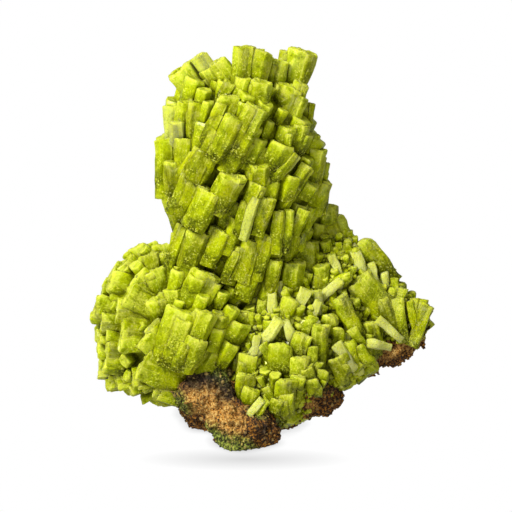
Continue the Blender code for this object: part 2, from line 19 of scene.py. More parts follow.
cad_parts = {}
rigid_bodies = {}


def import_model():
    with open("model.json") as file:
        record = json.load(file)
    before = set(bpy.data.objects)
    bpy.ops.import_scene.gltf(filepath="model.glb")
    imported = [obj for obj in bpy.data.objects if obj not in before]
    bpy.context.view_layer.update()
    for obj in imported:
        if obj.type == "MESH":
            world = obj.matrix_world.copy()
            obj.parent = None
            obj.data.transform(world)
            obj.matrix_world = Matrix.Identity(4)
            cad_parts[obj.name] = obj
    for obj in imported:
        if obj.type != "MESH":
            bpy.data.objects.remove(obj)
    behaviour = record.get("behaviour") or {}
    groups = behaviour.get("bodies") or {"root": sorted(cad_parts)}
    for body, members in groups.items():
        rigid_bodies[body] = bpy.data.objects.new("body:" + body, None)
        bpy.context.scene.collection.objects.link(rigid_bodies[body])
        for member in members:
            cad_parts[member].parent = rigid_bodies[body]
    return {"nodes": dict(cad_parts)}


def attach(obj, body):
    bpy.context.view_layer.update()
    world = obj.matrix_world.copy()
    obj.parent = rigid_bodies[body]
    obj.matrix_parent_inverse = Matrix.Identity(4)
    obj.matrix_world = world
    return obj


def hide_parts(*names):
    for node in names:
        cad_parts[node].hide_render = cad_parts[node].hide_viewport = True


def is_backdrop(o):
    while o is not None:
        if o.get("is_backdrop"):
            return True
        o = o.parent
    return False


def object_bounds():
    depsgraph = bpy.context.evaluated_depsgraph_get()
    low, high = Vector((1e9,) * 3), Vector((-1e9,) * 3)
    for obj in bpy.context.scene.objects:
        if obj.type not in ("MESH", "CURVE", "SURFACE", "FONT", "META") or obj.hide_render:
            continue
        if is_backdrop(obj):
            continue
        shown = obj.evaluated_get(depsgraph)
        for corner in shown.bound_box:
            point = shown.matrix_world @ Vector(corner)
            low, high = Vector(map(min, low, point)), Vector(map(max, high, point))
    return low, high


MM = 0.001
VIEW_TILT = math.radians(20)
FRONT_FOOT_Y = -20.0

# The photograph: its size, the pixel where the front foot stands, and the real size of one pixel.
PHOTO_SIDE = 512
FOOT_PIXEL = (240, 453)
PIXEL_MM = 0.2
CAMERA_DISTANCE_MM = 900.0
CAMERA_DEPTH_MM = -6.0

# The outline of each growth. The tower stands upright, this far behind the front foot, with a middle
# and half axes at each height. The others are lumps: the middle as the front view shows it, and the
# half axes.
Ring = namedtuple("Ring", "up across half_across half_deep")
Lump = namedtuple("Lump", "across up out half_across half_up half_out")

TOWER_AXIS_BACK = 21.0
TOWER_RINGS = (
    Ring(33.0, 0.0, 11.0, 8.0),
    Ring(42.0, 0.2, 12.8, 9.5),
    Ring(50.0, 0.4, 15.2, 10.8),
    Ring(57.0, 0.2, 16.2, 11.4),
    Ring(64.0, -0.2, 15.2, 11.0),
    Ring(69.0, -0.4, 13.0, 9.5),
    Ring(72.0, 0.2, 8.5, 7.0),
)
FOOT_LUMPS = (Lump(-8.0, 27.0, -8.5, 8.2, 14.0, 10.5),)
SPRAY_LUMPS = (Lump(-17.5, 26.0, -13.0, 12.5, 16.0, 11.0),)
APRON_LUMPS = (
    Lump(8.5, 21.0, -8.5, 12.0, 17.0, 8.2),
    Lump(18.5, 31.0, -11.5, 9.5, 15.0, 7.0),
    Lump(18.0, 20.5, -10.0, 10.0, 9.5, 6.8),
    Lump(26.5, 28.5, -13.5, 9.0, 9.7, 6.0),
    Lump(33.2, 26.5, -15.2, 5.8, 6.0, 5.0),
)

Crystal = namedtuple(
    "Crystal",
    "across up lean wide long toward proud flare dome pale bend thin",
    defaults=(0.0, 1.08, False, False, 0.0, 1.0),
)
DOMED = (1.0, True)
PALE = (1.08, False, True)


def crystals(*rows):
    return tuple(Crystal(*row) for row in rows)


# One row for each crystal of the tower: where the middle of its free end is seen, how far it leans to
# the right of upright, its width and length, how far its end tips towards the viewer, and how far it
# stands proud of the skin. Some rows go on: how much wider the end is than the root, whether the end
# is domed, and whether the crystal is nearly white.
TOWER = crystals(
    (-12, 76.4, -38, 5.8, 15, 6, -2, 1.2),
    (-8.6, 79, -36, 3.4, 14, 6, -1.5, *PALE),
    (-4.6, 77.8, -38, 4, 11, 6, -2),
    (0.8, 80.4, 8, 3.8, 14, 6, -3, 1.15),
    (4.2, 79.8, 14, 4.8, 14, 5, -3.2, 1.15),
    (7.6, 78, 12, 4.2, 12, 7, -3.2),
    (12.6, 80, 17, 5.8, 15, 4, -2.5, 1.4),
    (2.2, 79.4, 11, 3, 12, 5, -4.6),
    (10.2, 79.4, 15, 4.4, 13, 4, -3.4, 1.2),
    (6, 77.2, 10, 3.4, 11, 5, -5.5),
    (-6.6, 76.2, -32, 3.2, 11, 5, -3.6),
    (4.2, 73.6, 8, 4.2, 7, 20, 1.2),
    (10.4, 72.8, 20, 6.2, 15, 6, 2.8),
    (12.2, 73.6, 20, 3, 7, 8, 3.4),
    (13.4, 69.6, 12, 3, 7, 0, 0.4),
    (3.4, 68.6, 27, 4.6, 11, 10, 1.8),
    (-0.8, 66.6, 28, 4, 10, 10, 1.4),
    (-5.8, 65, 15, 1.8, 5, 10, 0),
    (-3.6, 67.4, 30, 3, 7, 8, 0.2),
    (-4.2, 64, 27, 3.2, 8, 14, 0),
    (-1.8, 70.8, 20, 4.4, 8, 14, 1.2),
    (-1.8, 73.4, 25, 2.6, 5, 12, 0.4),
    (0.6, 74.4, 12, 3.2, 8, 8, -0.4),
    (-13.6, 69, -3, 3.2, 8, 0, 1, *PALE),
    (-10.8, 69.8, -4, 3, 8, 4, 0.8),
    (-12.2, 65.8, -2, 2.9, 5, 8, 1, *PALE),
    (-8, 69.6, 3, 4.6, 11, 3, -0.8),
    (-14.8, 62.6, -1, 4.2, 12, 0, 0.5),
    (-11.2, 62.6, 0, 3.2, 7, 8, 0.3),
    (-12.6, 58, 2, 4.2, 8, 6, 1),
    (-6.4, 60, 28, 5.2, 8, 22, 0),
    (-6.8, 57.2, 28, 2, 5, 22, 0.8),
    (-8.8, 59.4, 35, 2.6, 7, 10, -0.2),
    (0.8, 62.4, 30, 3.6, 8, 12, 0),
    (-1, 55.4, 28, 5.4, 9, 20, 0),
    (-9.4, 55.2, 25, 4.4, 9, 14, 0.6),
    (-5.8, 52.2, 27, 5.4, 9, 22, 1),
    (-13.4, 50.4, -20, 2.6, 6, 5, 0),
    (-2.8, 49.2, 15, 1.8, 5, 8, -1.5),
    (-7.8, 44.4, 22, 4.8, 8, 16, 1.2),
    (-11.2, 45.2, 18, 2.6, 9, 3, 0.4),
    (-3.8, 44.6, 22, 4.2, 8, 18, 0),
    (4.4, 61, 5, 4.2, 6, 18, -1.8),
    (3.8, 57.4, 4, 4.4, 6, 42, -0.6),
    (10, 60.2, 38, 4.2, 9, 6, -0.2),
    (11.2, 59.4, 38, 2, 6, 14, 0.6, *PALE),
    (13.4, 57.4, 33, 2.6, 9.5, 8, 0.6),
    (12, 65.4, 15, 3.8, 7, 15, 0),
    (9.8, 63.4, 12, 1.6, 5, 10, 0.3),
    (14.8, 63.4, 15, 2.2, 5, 18, 0),
    (15.2, 60.8, 12, 4.2, 8, 5, -0.5),
    (17, 58, 6, 1.8, 6, 0, -0.5),
    (16, 54.2, 20, 4.8, 7, 12, 0),
    (3.4, 53.8, 20, 4.2, 6, 15, -0.5),
    (3.2, 50.8, 18, 1.9, 9, 6, 0.8, *PALE),
    (5.6, 50.6, 18, 3, 8, 8, 0.4),
    (1.2, 50, 18, 1.9, 7, 10, 0.2),
    (-0.6, 46.8, 20, 2.8, 8, 15, -0.5),
    (2.2, 42.6, 15, 3.6, 9, 8, -0.3),
    (5.8, 43.4, 20, 3.8, 9.5, 10, 0.3),
    (3.2, 38.6, 20, 4, 9, 12, 0.4),
    (0.2, 41, 22, 3.6, 8, 10, -0.4),
    (6.2, 35, 15, 3.4, 7, 12, 0.8),
    (7.6, 48.4, 4, 2.6, 9, 6, 0),
    (9.8, 48.6, 8, 2.2, 9, 6, 0),
    (12.6, 48.6, 20, 2.6, 10, 8, 0.3),
    (14.4, 49, 18, 1.9, 9, 4, -0.3),
    (10.2, 43, 20, 2.8, 7, 8, -1.6),
    (10.6, 38.4, 8, 4.8, 8, 16, 0.6),
    (13.4, 42, 12, 2.6, 9, 14, 0.4),
    (7, 38.6, 12, 2.9, 7, 12, 0.9),
)

# The swollen foot of the tower, at its lower left.
FOOT = crystals(
    (-5.2, 37.8, 25, 3, 5, 20, 0),
    (-1.8, 37.4, 20, 2.8, 7, 12, -2),
    (-6.6, 36.2, 27, 5.6, 11, 12, 1.6),
    (-11.2, 36.8, 22, 2.8, 8, 10, 0.8),
    (-2.2, 34.6, 22, 2.8, 7, 12, -1.5),
    (-1.2, 31.6, 28, 3.8, 11, 15, -0.3),
    (-13.4, 32.8, -8, 3.6, 6, 12, 0.8),
    (-6.6, 28.4, 25, 4.4, 10, 14, 1.4),
    (-3.8, 28, 26, 3, 10, 14, 0.6),
    (-8.6, 23.4, 24, 4.4, 8, 14, 1.2),
    (-11.4, 28.6, 20, 5.6, 12, 14, 1.2),
    (-14.8, 39.8, 28, 1.6, 8, 2, 0.5, *PALE),
    (-13, 41.2, 20, 2.4, 9, 2, 0.2),
)

# The rosette that points left.
SPRAY = crystals(
    (-15.8, 41.6, -4, 4.2, 11, -6, 0, 1.1, True),
    (-18.2, 39.4, -14, 3.2, 10, 0, 0.4),
    (-21, 41.4, -28, 4, 14, -2, 0, 1.2, True),
    (-17, 36.6, -20, 4.8, 12, 16, 0.9, 1.2),
    (-23.2, 38.4, -48, 3.8, 12, 0, 0.2, 1.2),
    (-20.8, 35.4, -44, 4.4, 11, 16, 0.8, 1.2, True),
    (-26, 34.4, -70, 4.8, 14, 0, 0, 1.25, True),
    (-22.2, 31.6, -62, 4.6, 11, 20, 1.4, 1.2),
    (-28.8, 29.4, -74, 4.6, 13, -3, 0, 1.25, True),
    (-24.6, 28.4, -78, 4.4, 10, 18, 1, 1.2),
    (-27.6, 25.8, -88, 3.6, 10, 0, 0, 1.2),
    (-23.6, 23.6, -84, 6, 10, 22, 1.5, 1.25),
    (-16.4, 31, -20, 4.8, 9, 34, 0.8, 1.2),
    (-28.2, 23.4, -84, 3, 9, -3, 0),
    (-28.6, 21, -86, 3.6, 10, -3, 0, 1.2, True),
    (-26.8, 19.6, -88, 5, 10, 12, 1, 1.2),
    (-28.4, 16.6, -92, 3.2, 9, 0, 0.2, *PALE),
    (-26.2, 14.6, -94, 3.6, 9, 10, 0.8),
    (-27, 13.4, -95, 2.6, 9, -3, 0),
    (-24.8, 13.8, -98, 3.2, 9, 2, 0.4),
    (-18.2, 24.2, -48, 6.2, 10, 34, 1.6, 1.2),
    (-19.4, 18.4, -66, 6.4, 10, 24, 1.8, 1.2),
    (-14.6, 20.4, -50, 4.6, 8, 30, 1),
    (-16.8, 13.6, -74, 5.2, 9, 22, 1.4, 1.2),
    (-16.2, 9.8, -165, 4.8, 10, 10, 0.8, 1.2),
    (-21.4, 15, -95, 4.2, 9, 16, 1.4, 1.2),
)

# The broad blades and slender prisms of the apron on the right.
APRON = crystals(
    (18, 49.4, 4, 3.4, 9.1, 8, -0.5),
    (18.4, 47, -28, 4.6, 12, 4, -1.5),
    (15.4, 48.8, 6, 3.4, 11, 4, -3),
    (16, 46, 5, 3, 10, 4, -1),
    (20.6, 41.6, -10, 3.4, 10.4, 5, -1),
    (23.8, 42.2, -39, 4.8, 11, -12, -2.4, *DOMED),
    (23, 40.2, -20, 1.9, 9.1, 4, -0.5, *PALE),
    (26, 38, -18, 1.9, 7.8, 4, -0.4, *PALE),
    (29, 36, -4, 1.5, 6.5, 5, -0.6, *PALE),
    (30.8, 35, -12, 1.7, 6.5, 5, -0.6),
    (23.6, 34.8, -40, 5.2, 10, 14, 0),
    (28, 31, -25, 3.2, 9.1, 12, 0.6),
    (31.4, 30.8, -8, 2.5, 9.1, 6, 0.8),
    (34, 30.4, -10, 1.6, 6.5, 4, 0.2),
    (32.8, 33, 20, 2.2, 7.8, 0, -1),
    (35.2, 30.8, 0, 2, 7.2, 0, -0.4),
    (36.6, 30.6, 6, 2.2, 7.8, 0, -0.6),
    (37.8, 29.4, 24, 2.6, 9.1, -6, -0.8),
    (27.4, 26.8, -50, 1.6, 7.2, 8, 1.4, *PALE),
    (25.8, 26.2, -10, 3.2, 7.8, 24, 0.8, *DOMED),
    (25.2, 22.2, -78, 1.9, 5.5, 12, 0.8, *PALE),
    (21.6, 22.2, -22, 2.2, 5.5, 14, 0.8),
    (23.4, 21.2, -35, 2.4, 5, 16, 0.6),
    (16.2, 37.8, -4, 3.3, 10.4, 12, 0.4),
    (18, 39.6, -22, 1.5, 7.8, 6, 0.8, *PALE),
    (20.6, 34.4, 55, 2.1, 7.8, 12, 1.2, *PALE),
    (22, 35.4, 72, 2, 7.2, 8, 0.4),
    (13.4, 36.4, 8, 2.5, 7.8, 20, 0.6),
    (13.4, 32.6, 28, 2.4, 9.1, 6, 1.4, *PALE),
    (15.4, 32.6, -8, 1.7, 6.5, 10, 1.4, *DOMED, True),
    (16, 30.2, 25, 1.7, 7.2, 10, 1.4, *PALE),
    (14.6, 27.4, 25, 2.2, 7.8, 14, 1.6, *DOMED),
    (6.4, 32, -4, 1.8, 9.1, 10, 1, *PALE),
    (8, 34.2, 0, 1.5, 6.5, 12, 0.4, *PALE),
    (8.8, 32.4, -20, 1.6, 6.5, 18, 0.8),
    (10, 30.8, 15, 3.2, 7.8, 28, 0.8, *DOMED),
    (19.8, 31.2, -27, 3.4, 10.4, 10, 1.2),
    (19.6, 25.2, 0, 2.6, 7.2, 26, 1.6, *DOMED),
    (18.2, 27.6, 12, 3.4, 7.8, 22, 0.9, *DOMED),
    (22.2, 24.8, -35, 2.2, 7.2, 18, 1.2),
    (16.4, 25.6, 9, 3.1, 10.4, 14, 2.2, 0.9, True),
    (14.4, 21.4, 6, 2.1, 6, 16, 2, *DOMED),
    (7.4, 26.8, 32, 2.5, 9.1, 8, 1.6, *PALE),
    (8.8, 26.6, -20, 1.9, 7.8, 8, 1.3, *PALE),
    (3.6, 23.8, 12, 1.6, 6, 8, 1.4, *PALE),
    (4.6, 22, -28, 2.1, 5.5, 16, 1.4),
    (1.4, 28.4, 6, 3.6, 9, 6, 0.2),
    (4.6, 30.8, 0, 2, 6.5, 24, 0),
    (1.6, 35.2, 25, 2.2, 9.1, 8, -0.5),
    (4.4, 34, 40, 1.8, 7.8, 10, 0.3),
    (12, 23.8, 12, 3.8, 6, 20, 1.2),
    (8.2, 21.8, 2, 5, 7, 34, 1.8, *DOMED),
    (9, 14.8, 3, 4, 6, 34, 1.8, *DOMED),
    (9.2, 12, -6, 3.2, 5, 30, 1.6),
    (15.2, 15.6, 60, 2.6, 6, 15, 0.8),
    (4.4, 10.8, 40, 1.6, 5.5, 8, 2.2, *PALE),
    (5.6, 10.8, 40, 1.8, 5.5, 8, 1.4),
    (4.2, 7.8, 4, 1.5, 4.5, 10, 1.4),
    (19.2, 22, -38, 2.2, 7, 10, 1.8, *PALE),
    (5.2, 13.4, -25, 1.6, 5, 12, 1.6),
    (1.8, 19.8, 8, 4, 7, 24, 0.4),
    (1.2, 16.2, 5, 3.6, 6, 28, 0.6),
    (2.2, 13, 10, 3.4, 6, 32, 0.8, *DOMED),
    (12, 19, 5, 3.6, 6, 30, 1.6, *DOMED),
    (18.8, 19, -20, 2.8, 6, 26, 1, *DOMED),
    (11.6, 15.6, 10, 3, 3.6, 30, 2, *DOMED),
    (14.4, 14.8, -12, 2.6, 3.4, 26, 2.2, *DOMED),
    (16.8, 16.4, 20, 2.6, 3.4, 26, 2, *DOMED),
    (13.2, 17.2, -20, 2.6, 4, 28, 1.8),
    (15.6, 18.4, 30, 2.2, 4, 24, 1.6),
    (20.4, 19.8, -30, 2.6, 3.6, 24, 1.4, *DOMED),
    (7.6, 10.8, 20, 2.6, 3.4, 26, 2, *DOMED),
)


def seen_point(across, up, out):
    """The place in the finished specimen, in metres, of a point of the front view."""
    back = up * math.sin(VIEW_TILT) - out * math.cos(VIEW_TILT)
    height = up * math.cos(VIEW_TILT) + out * math.sin(VIEW_TILT)
    return Vector((across, back + FRONT_FOOT_Y, height)) * MM


RIGHT_WAY = seen_point(1, 0, 0) - seen_point(0, 0, 0)
OUT_WAY = seen_point(0, 0, 1) - seen_point(0, 0, 0)
TOWARDS_VIEWER = OUT_WAY.normalized()


def seen_direction(lean, toward):
    """The unit direction that a crystal points in, from its lean and its tip towards the viewer."""
    lean, toward = math.radians(lean), math.radians(toward)
    flat = math.cos(toward)
    tip = seen_point(math.sin(lean) * flat, math.cos(lean) * flat, math.sin(toward))
    return (tip - seen_point(0, 0, 0)).normalized()


def crystal_axes(row):
    """The directions along a crystal, to its side and to its front."""
    direction = seen_direction(row.lean, row.toward)
    side = direction.cross(TOWARDS_VIEWER).normalized()
    return direction, side, side.cross(direction)


def tower_ring(up):
    """The tower's middle (across, out) and half axes at a height of the front view."""
    low, high = TOWER_RINGS[0], TOWER_RINGS[-1]
    for below, above in zip(TOWER_RINGS, TOWER_RINGS[1:]):
        if below.up <= up <= above.up:
            low, high = below, above
    share = min(1.0, max(0.0, (up - low.up) / (high.up - low.up)))
    across, half_across, half_deep = (a + (b - a) * share for a, b in zip(low[1:], high[1:]))
    out = (up * math.sin(VIEW_TILT) - TOWER_AXIS_BACK) / math.cos(VIEW_TILT)
    return across, out, half_across, half_deep


def tower_skin(across, up):
    """How far out the tower's front lies."""
    middle, out, half_across, half_deep = tower_ring(up)
    share = min(1.0, abs(across - middle) / half_across)
    return out + half_deep * math.sqrt(1 - share**2)


def lump_skin(lumps):
    """A function that says how far out the front of these lumps lies."""

    def skin(across, up):
        outs = []
        for lump in lumps:
            share = ((across - lump.across) / lump.half_across) ** 2
            share += ((up - lump.up) / lump.half_up) ** 2
            outs.append(lump.out + lump.half_out * math.sqrt(max(0.0, 1 - share)))
        return max(outs)

    return skin


# The shape of a finished crystal: a flattened hexagon with rounded corners, whose side bulges a
# little and whose end has a rounded rim and is domed, flat or hollow. AROUND gives the turns of the
# points on one of its six sides, in degrees, and EDGE_MARKS how near each of them is to a corner.
SIDES = 6
AROUND = (0, 7, 30, 53)
EDGE_MARKS = (1.0, 0.55, 0.0, 0.55)
SECTION_DEPTH = 0.88
STOUTNESS = 1.1
FLATTENED = (0.56, 0.88)
CRISPNESS = 44
UNEVEN_SIDES = (0.91, 1.03)
SIDE_RINGS = 9
BARREL = 0.02
UNEVEN_RINGS = 0.012
RIM_ANGLES = (0, 45, 90)
RIM = (0.07, 0.14)
CAP_REACH = (0.80, 0.62, 0.34)
HOPPER = (-0.06, 0.2)
DOME_ANGLES = (0, 30, 60, 90)
DOME_ROUND = 0.24
DOME_DROP = 0.3
DOME_CAP_REACH = (0.72, 0.4)
DOME_HOPPER = -0.06
HOPPER_CURVE = 0.8
END_MARK = 0.6
SLANT = 0.16
END_ROUGH = 0.09
SHARP_FROM = math.radians(26)
PLAIN_TINT = 0.8
LOCAL_SPREAD = 40.0

# How a crystal of the tables is set: its end tips forwards, its root bends back, it turns about itself.
FRONT_TIP = 8.0
ROOT_BEND = 0.3
ROLL_SPREAD = 14.0
UNEVEN_TURN = 8.0

# The narrower crystals grown at the side of one that is at least this wide.
COMPANION_FROM = 2.6
COMPANION_COUNTS = (1, 1, 2, 2)
COMPANION_TURN = 0.7
COMPANION_AWAY = (0.35, 0.65)
COMPANION_STEPS = (0.25, -0.5, -1.0, -1.7)
COMPANION_STEP_SPREAD = (0.6, 1.2)
COMPANION_WIDE = (0.5, 0.74)
COMPANION_LONG = 0.8
COMPANION_LEAN = 4


def hexagon_reach(turns, distances):
    """How far a six-sided outline with slightly rounded corners reaches at these turns."""
    total = np.zeros_like(turns)
    for side, distance in enumerate(distances):
        facing = np.cos(turns - (side + 0.5) * math.tau / SIDES) / distance
        total += np.maximum(facing, 0) ** CRISPNESS
    return total ** (-1 / CRISPNESS)


def prism_rings(row, half, dice):
    """Rings from the root to the middle of the end: how far along, how wide, and how much end face."""
    if row.dome:
        rim, drop, angles, reaches = DOME_ROUND, DOME_DROP, DOME_ANGLES, DOME_CAP_REACH
        hollow = DOME_HOPPER
    else:
        rim = drop = dice.uniform(*RIM)
        angles, reaches = RIM_ANGLES, CAP_REACH
        hollow = dice.uniform(*HOPPER)
    rings = []
    shoulder = -drop * half
    for step in range(SIDE_RINGS):
        share = step / SIDE_RINGS
        wide = (1 - share) / row.flare + share
        wide *= 1 + BARREL * math.sin(math.pi * share) + dice.uniform(-UNEVEN_RINGS, UNEVEN_RINGS)
        rings.append((-row.long + share * (row.long + shoulder), wide, 0.0))
    for angle in map(math.radians, angles):
        wide = 1 - rim * (1 - math.cos(angle))
        rings.append((shoulder * (1 - math.sin(angle)), wide, END_MARK * math.sin(angle) ** 2))
    edge = rings[-1][1]
    for reach in reaches:
        sunk = hollow * half * (1 - reach) ** HOPPER_CURVE
        rings.append((-sunk, edge * reach, 1.0))
    return rings, -hollow * half


class Pile:
    """Closed shapes gathered into one mesh, with what their finish reads at each point."""

    def __init__(self):
        self.places, self.grown, self.marks, self.faces = [], [], [], []
        self.count = 0

    def add(self, places, grown, marks, rings, around, turned=False):
        """Adds one shape: rings of points, then the root's and the tip's middle point."""
        base = self.count
        root, tip = base + rings * around, base + rings * around + 1
        last = base + (rings - 1) * around
        for i in range(around):
            j = (i + 1) % around
            cells = [(root, base + j, base + i), (tip, last + i, last + j)]
            for ring in range(rings - 1):
                low, high = base + ring * around, base + (ring + 1) * around
                cells.append((low + i, low + j, high + j, high + i))
            self.faces.extend(cell[::-1] if turned else cell for cell in cells)
        self.places.append(places)
        self.grown.append(grown)
        self.marks.append(marks)
        self.count += len(places)

    def to_object(self, name, finish, uneven=0.0):
        places = np.vstack(self.places)
        if uneven:
            places = warped(places, uneven)
        mesh = bpy.data.meshes.new(name)
        mesh.from_pydata(places.tolist(), [], self.faces)
        store_values(mesh, "grown", np.vstack(self.grown), "FLOAT_VECTOR")
        marks = np.vstack(self.marks)
        for column, mark_name in enumerate(("near_tip", "end_face", "tint", "edge")):
            store_values(mesh, mark_name, marks[:, column])
        return finished_object(name, mesh, finish)


def store_values(mesh, name, values, kind="FLOAT"):
    attribute = mesh.attributes.new(name, kind, "POINT")
    slot = "value" if kind == "FLOAT" else "vector"
    attribute.data.foreach_set(slot, np.ascontiguousarray(values, np.float32).ravel())


def finished_object(name, mesh, finish):
    """An object in the scene, smoothly shaded between its crisp edges where it has a finish."""
    obj = bpy.data.objects.new(name, mesh)
    bpy.context.scene.collection.objects.link(obj)
    mesh.materials.clear()
    if finish:
        mesh.materials.append(finish)
        mesh.shade_smooth()
        mesh.set_sharp_from_angle(angle=SHARP_FROM)
    return obj


# Gentle waves that make every face a little uneven, so that none is ruled straight.
WAVES = 36
WAVE_LONG = (1.2, 6.0)
WAVE_HIGH = 0.0058
wave_dice = np.random.default_rng(8)
wave_way = wave_dice.normal(size=(WAVES, 3))
wave_way /= np.linalg.norm(wave_way, axis=1, keepdims=True)
wave_length = wave_dice.uniform(*WAVE_LONG, size=WAVES)
wave_push = wave_dice.normal(size=(WAVES, 3))
wave_start = wave_dice.uniform(0, math.tau, size=WAVES)


def warped(places, strength):
    """The places, in metres, after the waves have pushed them."""
    moved = places.copy()
    for way, length, push, start in zip(wave_way, wave_length, wave_push, wave_start):
        swing = np.sin(places @ way / MM * math.tau / length + start)
        moved += np.outer(swing, push) * WAVE_HIGH * strength * length * MM
    return moved


def add_crystal(pile, row, end, roll, dice):
    """Adds one crystal, whose free end is at `end`."""
    direction, side, front = crystal_axes(row)
    half = STOUTNESS * row.wide / 2
    turns = np.radians([360 / SIDES * number + turn for number in range(SIDES) for turn in AROUND])
    flattened = dice.uniform(*FLATTENED) * row.thin
    distances = []
    for number in range(SIDES):
        distance = math.cos(math.pi / SIDES) * dice.uniform(*UNEVEN_SIDES)
        distances.append(distance * (flattened if number % 3 == 1 else 1.0))
    reach = hexagon_reach(turns, distances)
    rings, middle = prism_rings(row, half, dice)
    slant_way = dice.uniform(0, math.tau)
    slant = dice.uniform(0, SLANT)
    local, marks = [], []
    for along, wide, end_share in rings:
        x = np.cos(turns) * reach * wide * half
        y = np.sin(turns) * reach * wide * half * SECTION_DEPTH
        tilt = slant * (x * math.cos(slant_way) + y * math.sin(slant_way))
        near_end = max(0.0, 1 + along / row.long)
        rough = END_ROUGH * half * end_share
        z = along + tilt * near_end**3 + np.array([dice.uniform(-rough, rough) for _ in turns])
        local.append(np.column_stack((x, y, z)))
        marks.append((near_end, end_share))
    local.append(np.array([(0, 0, -row.long), (0, 0, middle)]))
    local = np.vstack(local)
    cosine, sine = math.cos(math.radians(roll)), math.sin(math.radians(roll))
    axes = np.array([[cosine, sine, 0], [-sine, cosine, 0], [0, 0, 1]])
    axes = axes @ np.array([side, front, direction])
    near = np.append(np.repeat([near_end for near_end, _ in marks], len(turns)), (0, 1))
    tucked = np.outer(row.bend * (1 - near) ** 2, front)
    places = np.array(end) + (local @ axes - tucked) * MM
    tint = 1.0 if row.pale else PLAIN_TINT * dice.random()
    spread = [(*mark, tint, edge) for mark in marks for edge in EDGE_MARKS * SIDES]
    spread += [(0, 0, tint, 0), (1, 1, tint, 0)]
    shift = np.array([dice.uniform(0, LOCAL_SPREAD) for _ in range(3)])
    pile.add(places, local + shift, np.array(spread), len(rings), len(turns), turned=True)


def add_with_companions(pile, row, end, roll, dice):
    """Adds a crystal and the narrower ones grown side by side with it, which step its end."""
    add_crystal(pile, row, end, roll, dice)
    if row.wide < COMPANION_FROM:
        return
    direction, side, front = crystal_axes(row)
    for _ in range(1 if row.dome else dice.choice(COMPANION_COUNTS)):
        turn = dice.choice((0, math.pi)) + dice.uniform(-COMPANION_TURN, COMPANION_TURN)
        away = dice.uniform(*COMPANION_AWAY) * row.wide / 2
        lower = dice.choice(COMPANION_STEPS) * dice.uniform(*COMPANION_STEP_SPREAD)
        shift = side * math.cos(turn) * away + front * math.sin(turn) * away * SECTION_DEPTH
        place = end + (shift + direction * lower) * MM
        wide = row.wide * dice.uniform(*COMPANION_WIDE)
        lean = row.lean + dice.uniform(-COMPANION_LEAN, COMPANION_LEAN)
        twin = row._replace(wide=wide, long=row.long * COMPANION_LONG, lean=lean)
        add_crystal(pile, twin, place, roll + dice.uniform(-UNEVEN_TURN, UNEVEN_TURN), dice)


def placed(rows, skin, seed, tip_share, most_bend, broad=1.0, thin=1.0):
    """Every crystal of the rows with its end's place and its turn about its own axis."""
    dice = random.Random(seed)
    for row in rows:
        roll = dice.uniform(-ROLL_SPREAD, ROLL_SPREAD)
        out = skin(row.across, row.up) + row.proud
        tip = row.toward * tip_share + FRONT_TIP
        bend = min(most_bend, ROOT_BEND * row.long)
        fitted = row._replace(toward=tip, wide=row.wide * broad, bend=bend, thin=thin)
        yield fitted, seen_point(row.across, row.up, out), roll


# The far side: the tower's crystals stand in rings, and the spray's are spread over its far half as
# seeds are on a flower head.
BACK_LEVELS = 6
BACK_LOWEST = 36.0
BACK_STEP = 7.4
BACK_ROUND = 5
BACK_SWEEP = 150.0
BACK_WIDE = (5.0, 7.6)
BACK_PROUD = (0.2, 1.6)
BACK_LONG = (8.0, 11.0)
BACK_FAN = 12.0
BACK_LEAN = 16.0
BACK_TIP = 14.0
BACK_UPRIGHT = 6.0
DOMED_SHARE = 0.1
SPRAY_BACK_COUNT = 16
SPRAY_BACK_REACH = 0.96
SPRAY_BACK_INNER = 0.45
SPRAY_BACK_WIDE = (3.8, 5.6)
SPRAY_BACK_LONG = 8.0
SPRAY_BACK_TIP = 0.8
UNEVEN_HEIGHT = 2.5
GOLDEN_TURN = math.radians(137.5)


def tower_back(seed):
    """The crystals round the far side of the tower, in rings whose crystals alternate."""
    dice = random.Random(seed)
    for level in range(BACK_LEVELS):
        up = BACK_LOWEST + level * BACK_STEP
        middle, out, half_across, half_deep = tower_ring(up)
        for place in range(BACK_ROUND):
            share = (place + 0.5 * (level % 2)) / (BACK_ROUND - 0.5) - 0.5
            turn = math.radians(BACK_SWEEP * share + dice.uniform(-UNEVEN_TURN, UNEVEN_TURN))
            wide = dice.uniform(*BACK_WIDE)
            proud = dice.uniform(*BACK_PROUD)
            across = middle + (half_across + proud - wide / 3) * math.sin(turn)
            depth = out - (half_deep + proud) * math.cos(turn)
            height = up + dice.uniform(-UNEVEN_HEIGHT, UNEVEN_HEIGHT)
            lean = BACK_FAN * math.sin(turn) + dice.uniform(-BACK_LEAN, BACK_LEAN)
            tip = BACK_UPRIGHT - BACK_TIP * math.cos(turn) + dice.uniform(-UNEVEN_TURN, UNEVEN_TURN)
            long = dice.uniform(*BACK_LONG)
            domed = dice.random() < DOMED_SHARE
            row = Crystal(across, height, lean, wide, long, tip, dome=domed)
            yield row, seen_point(across, height, depth), dice.uniform(-ROLL_SPREAD, ROLL_SPREAD)


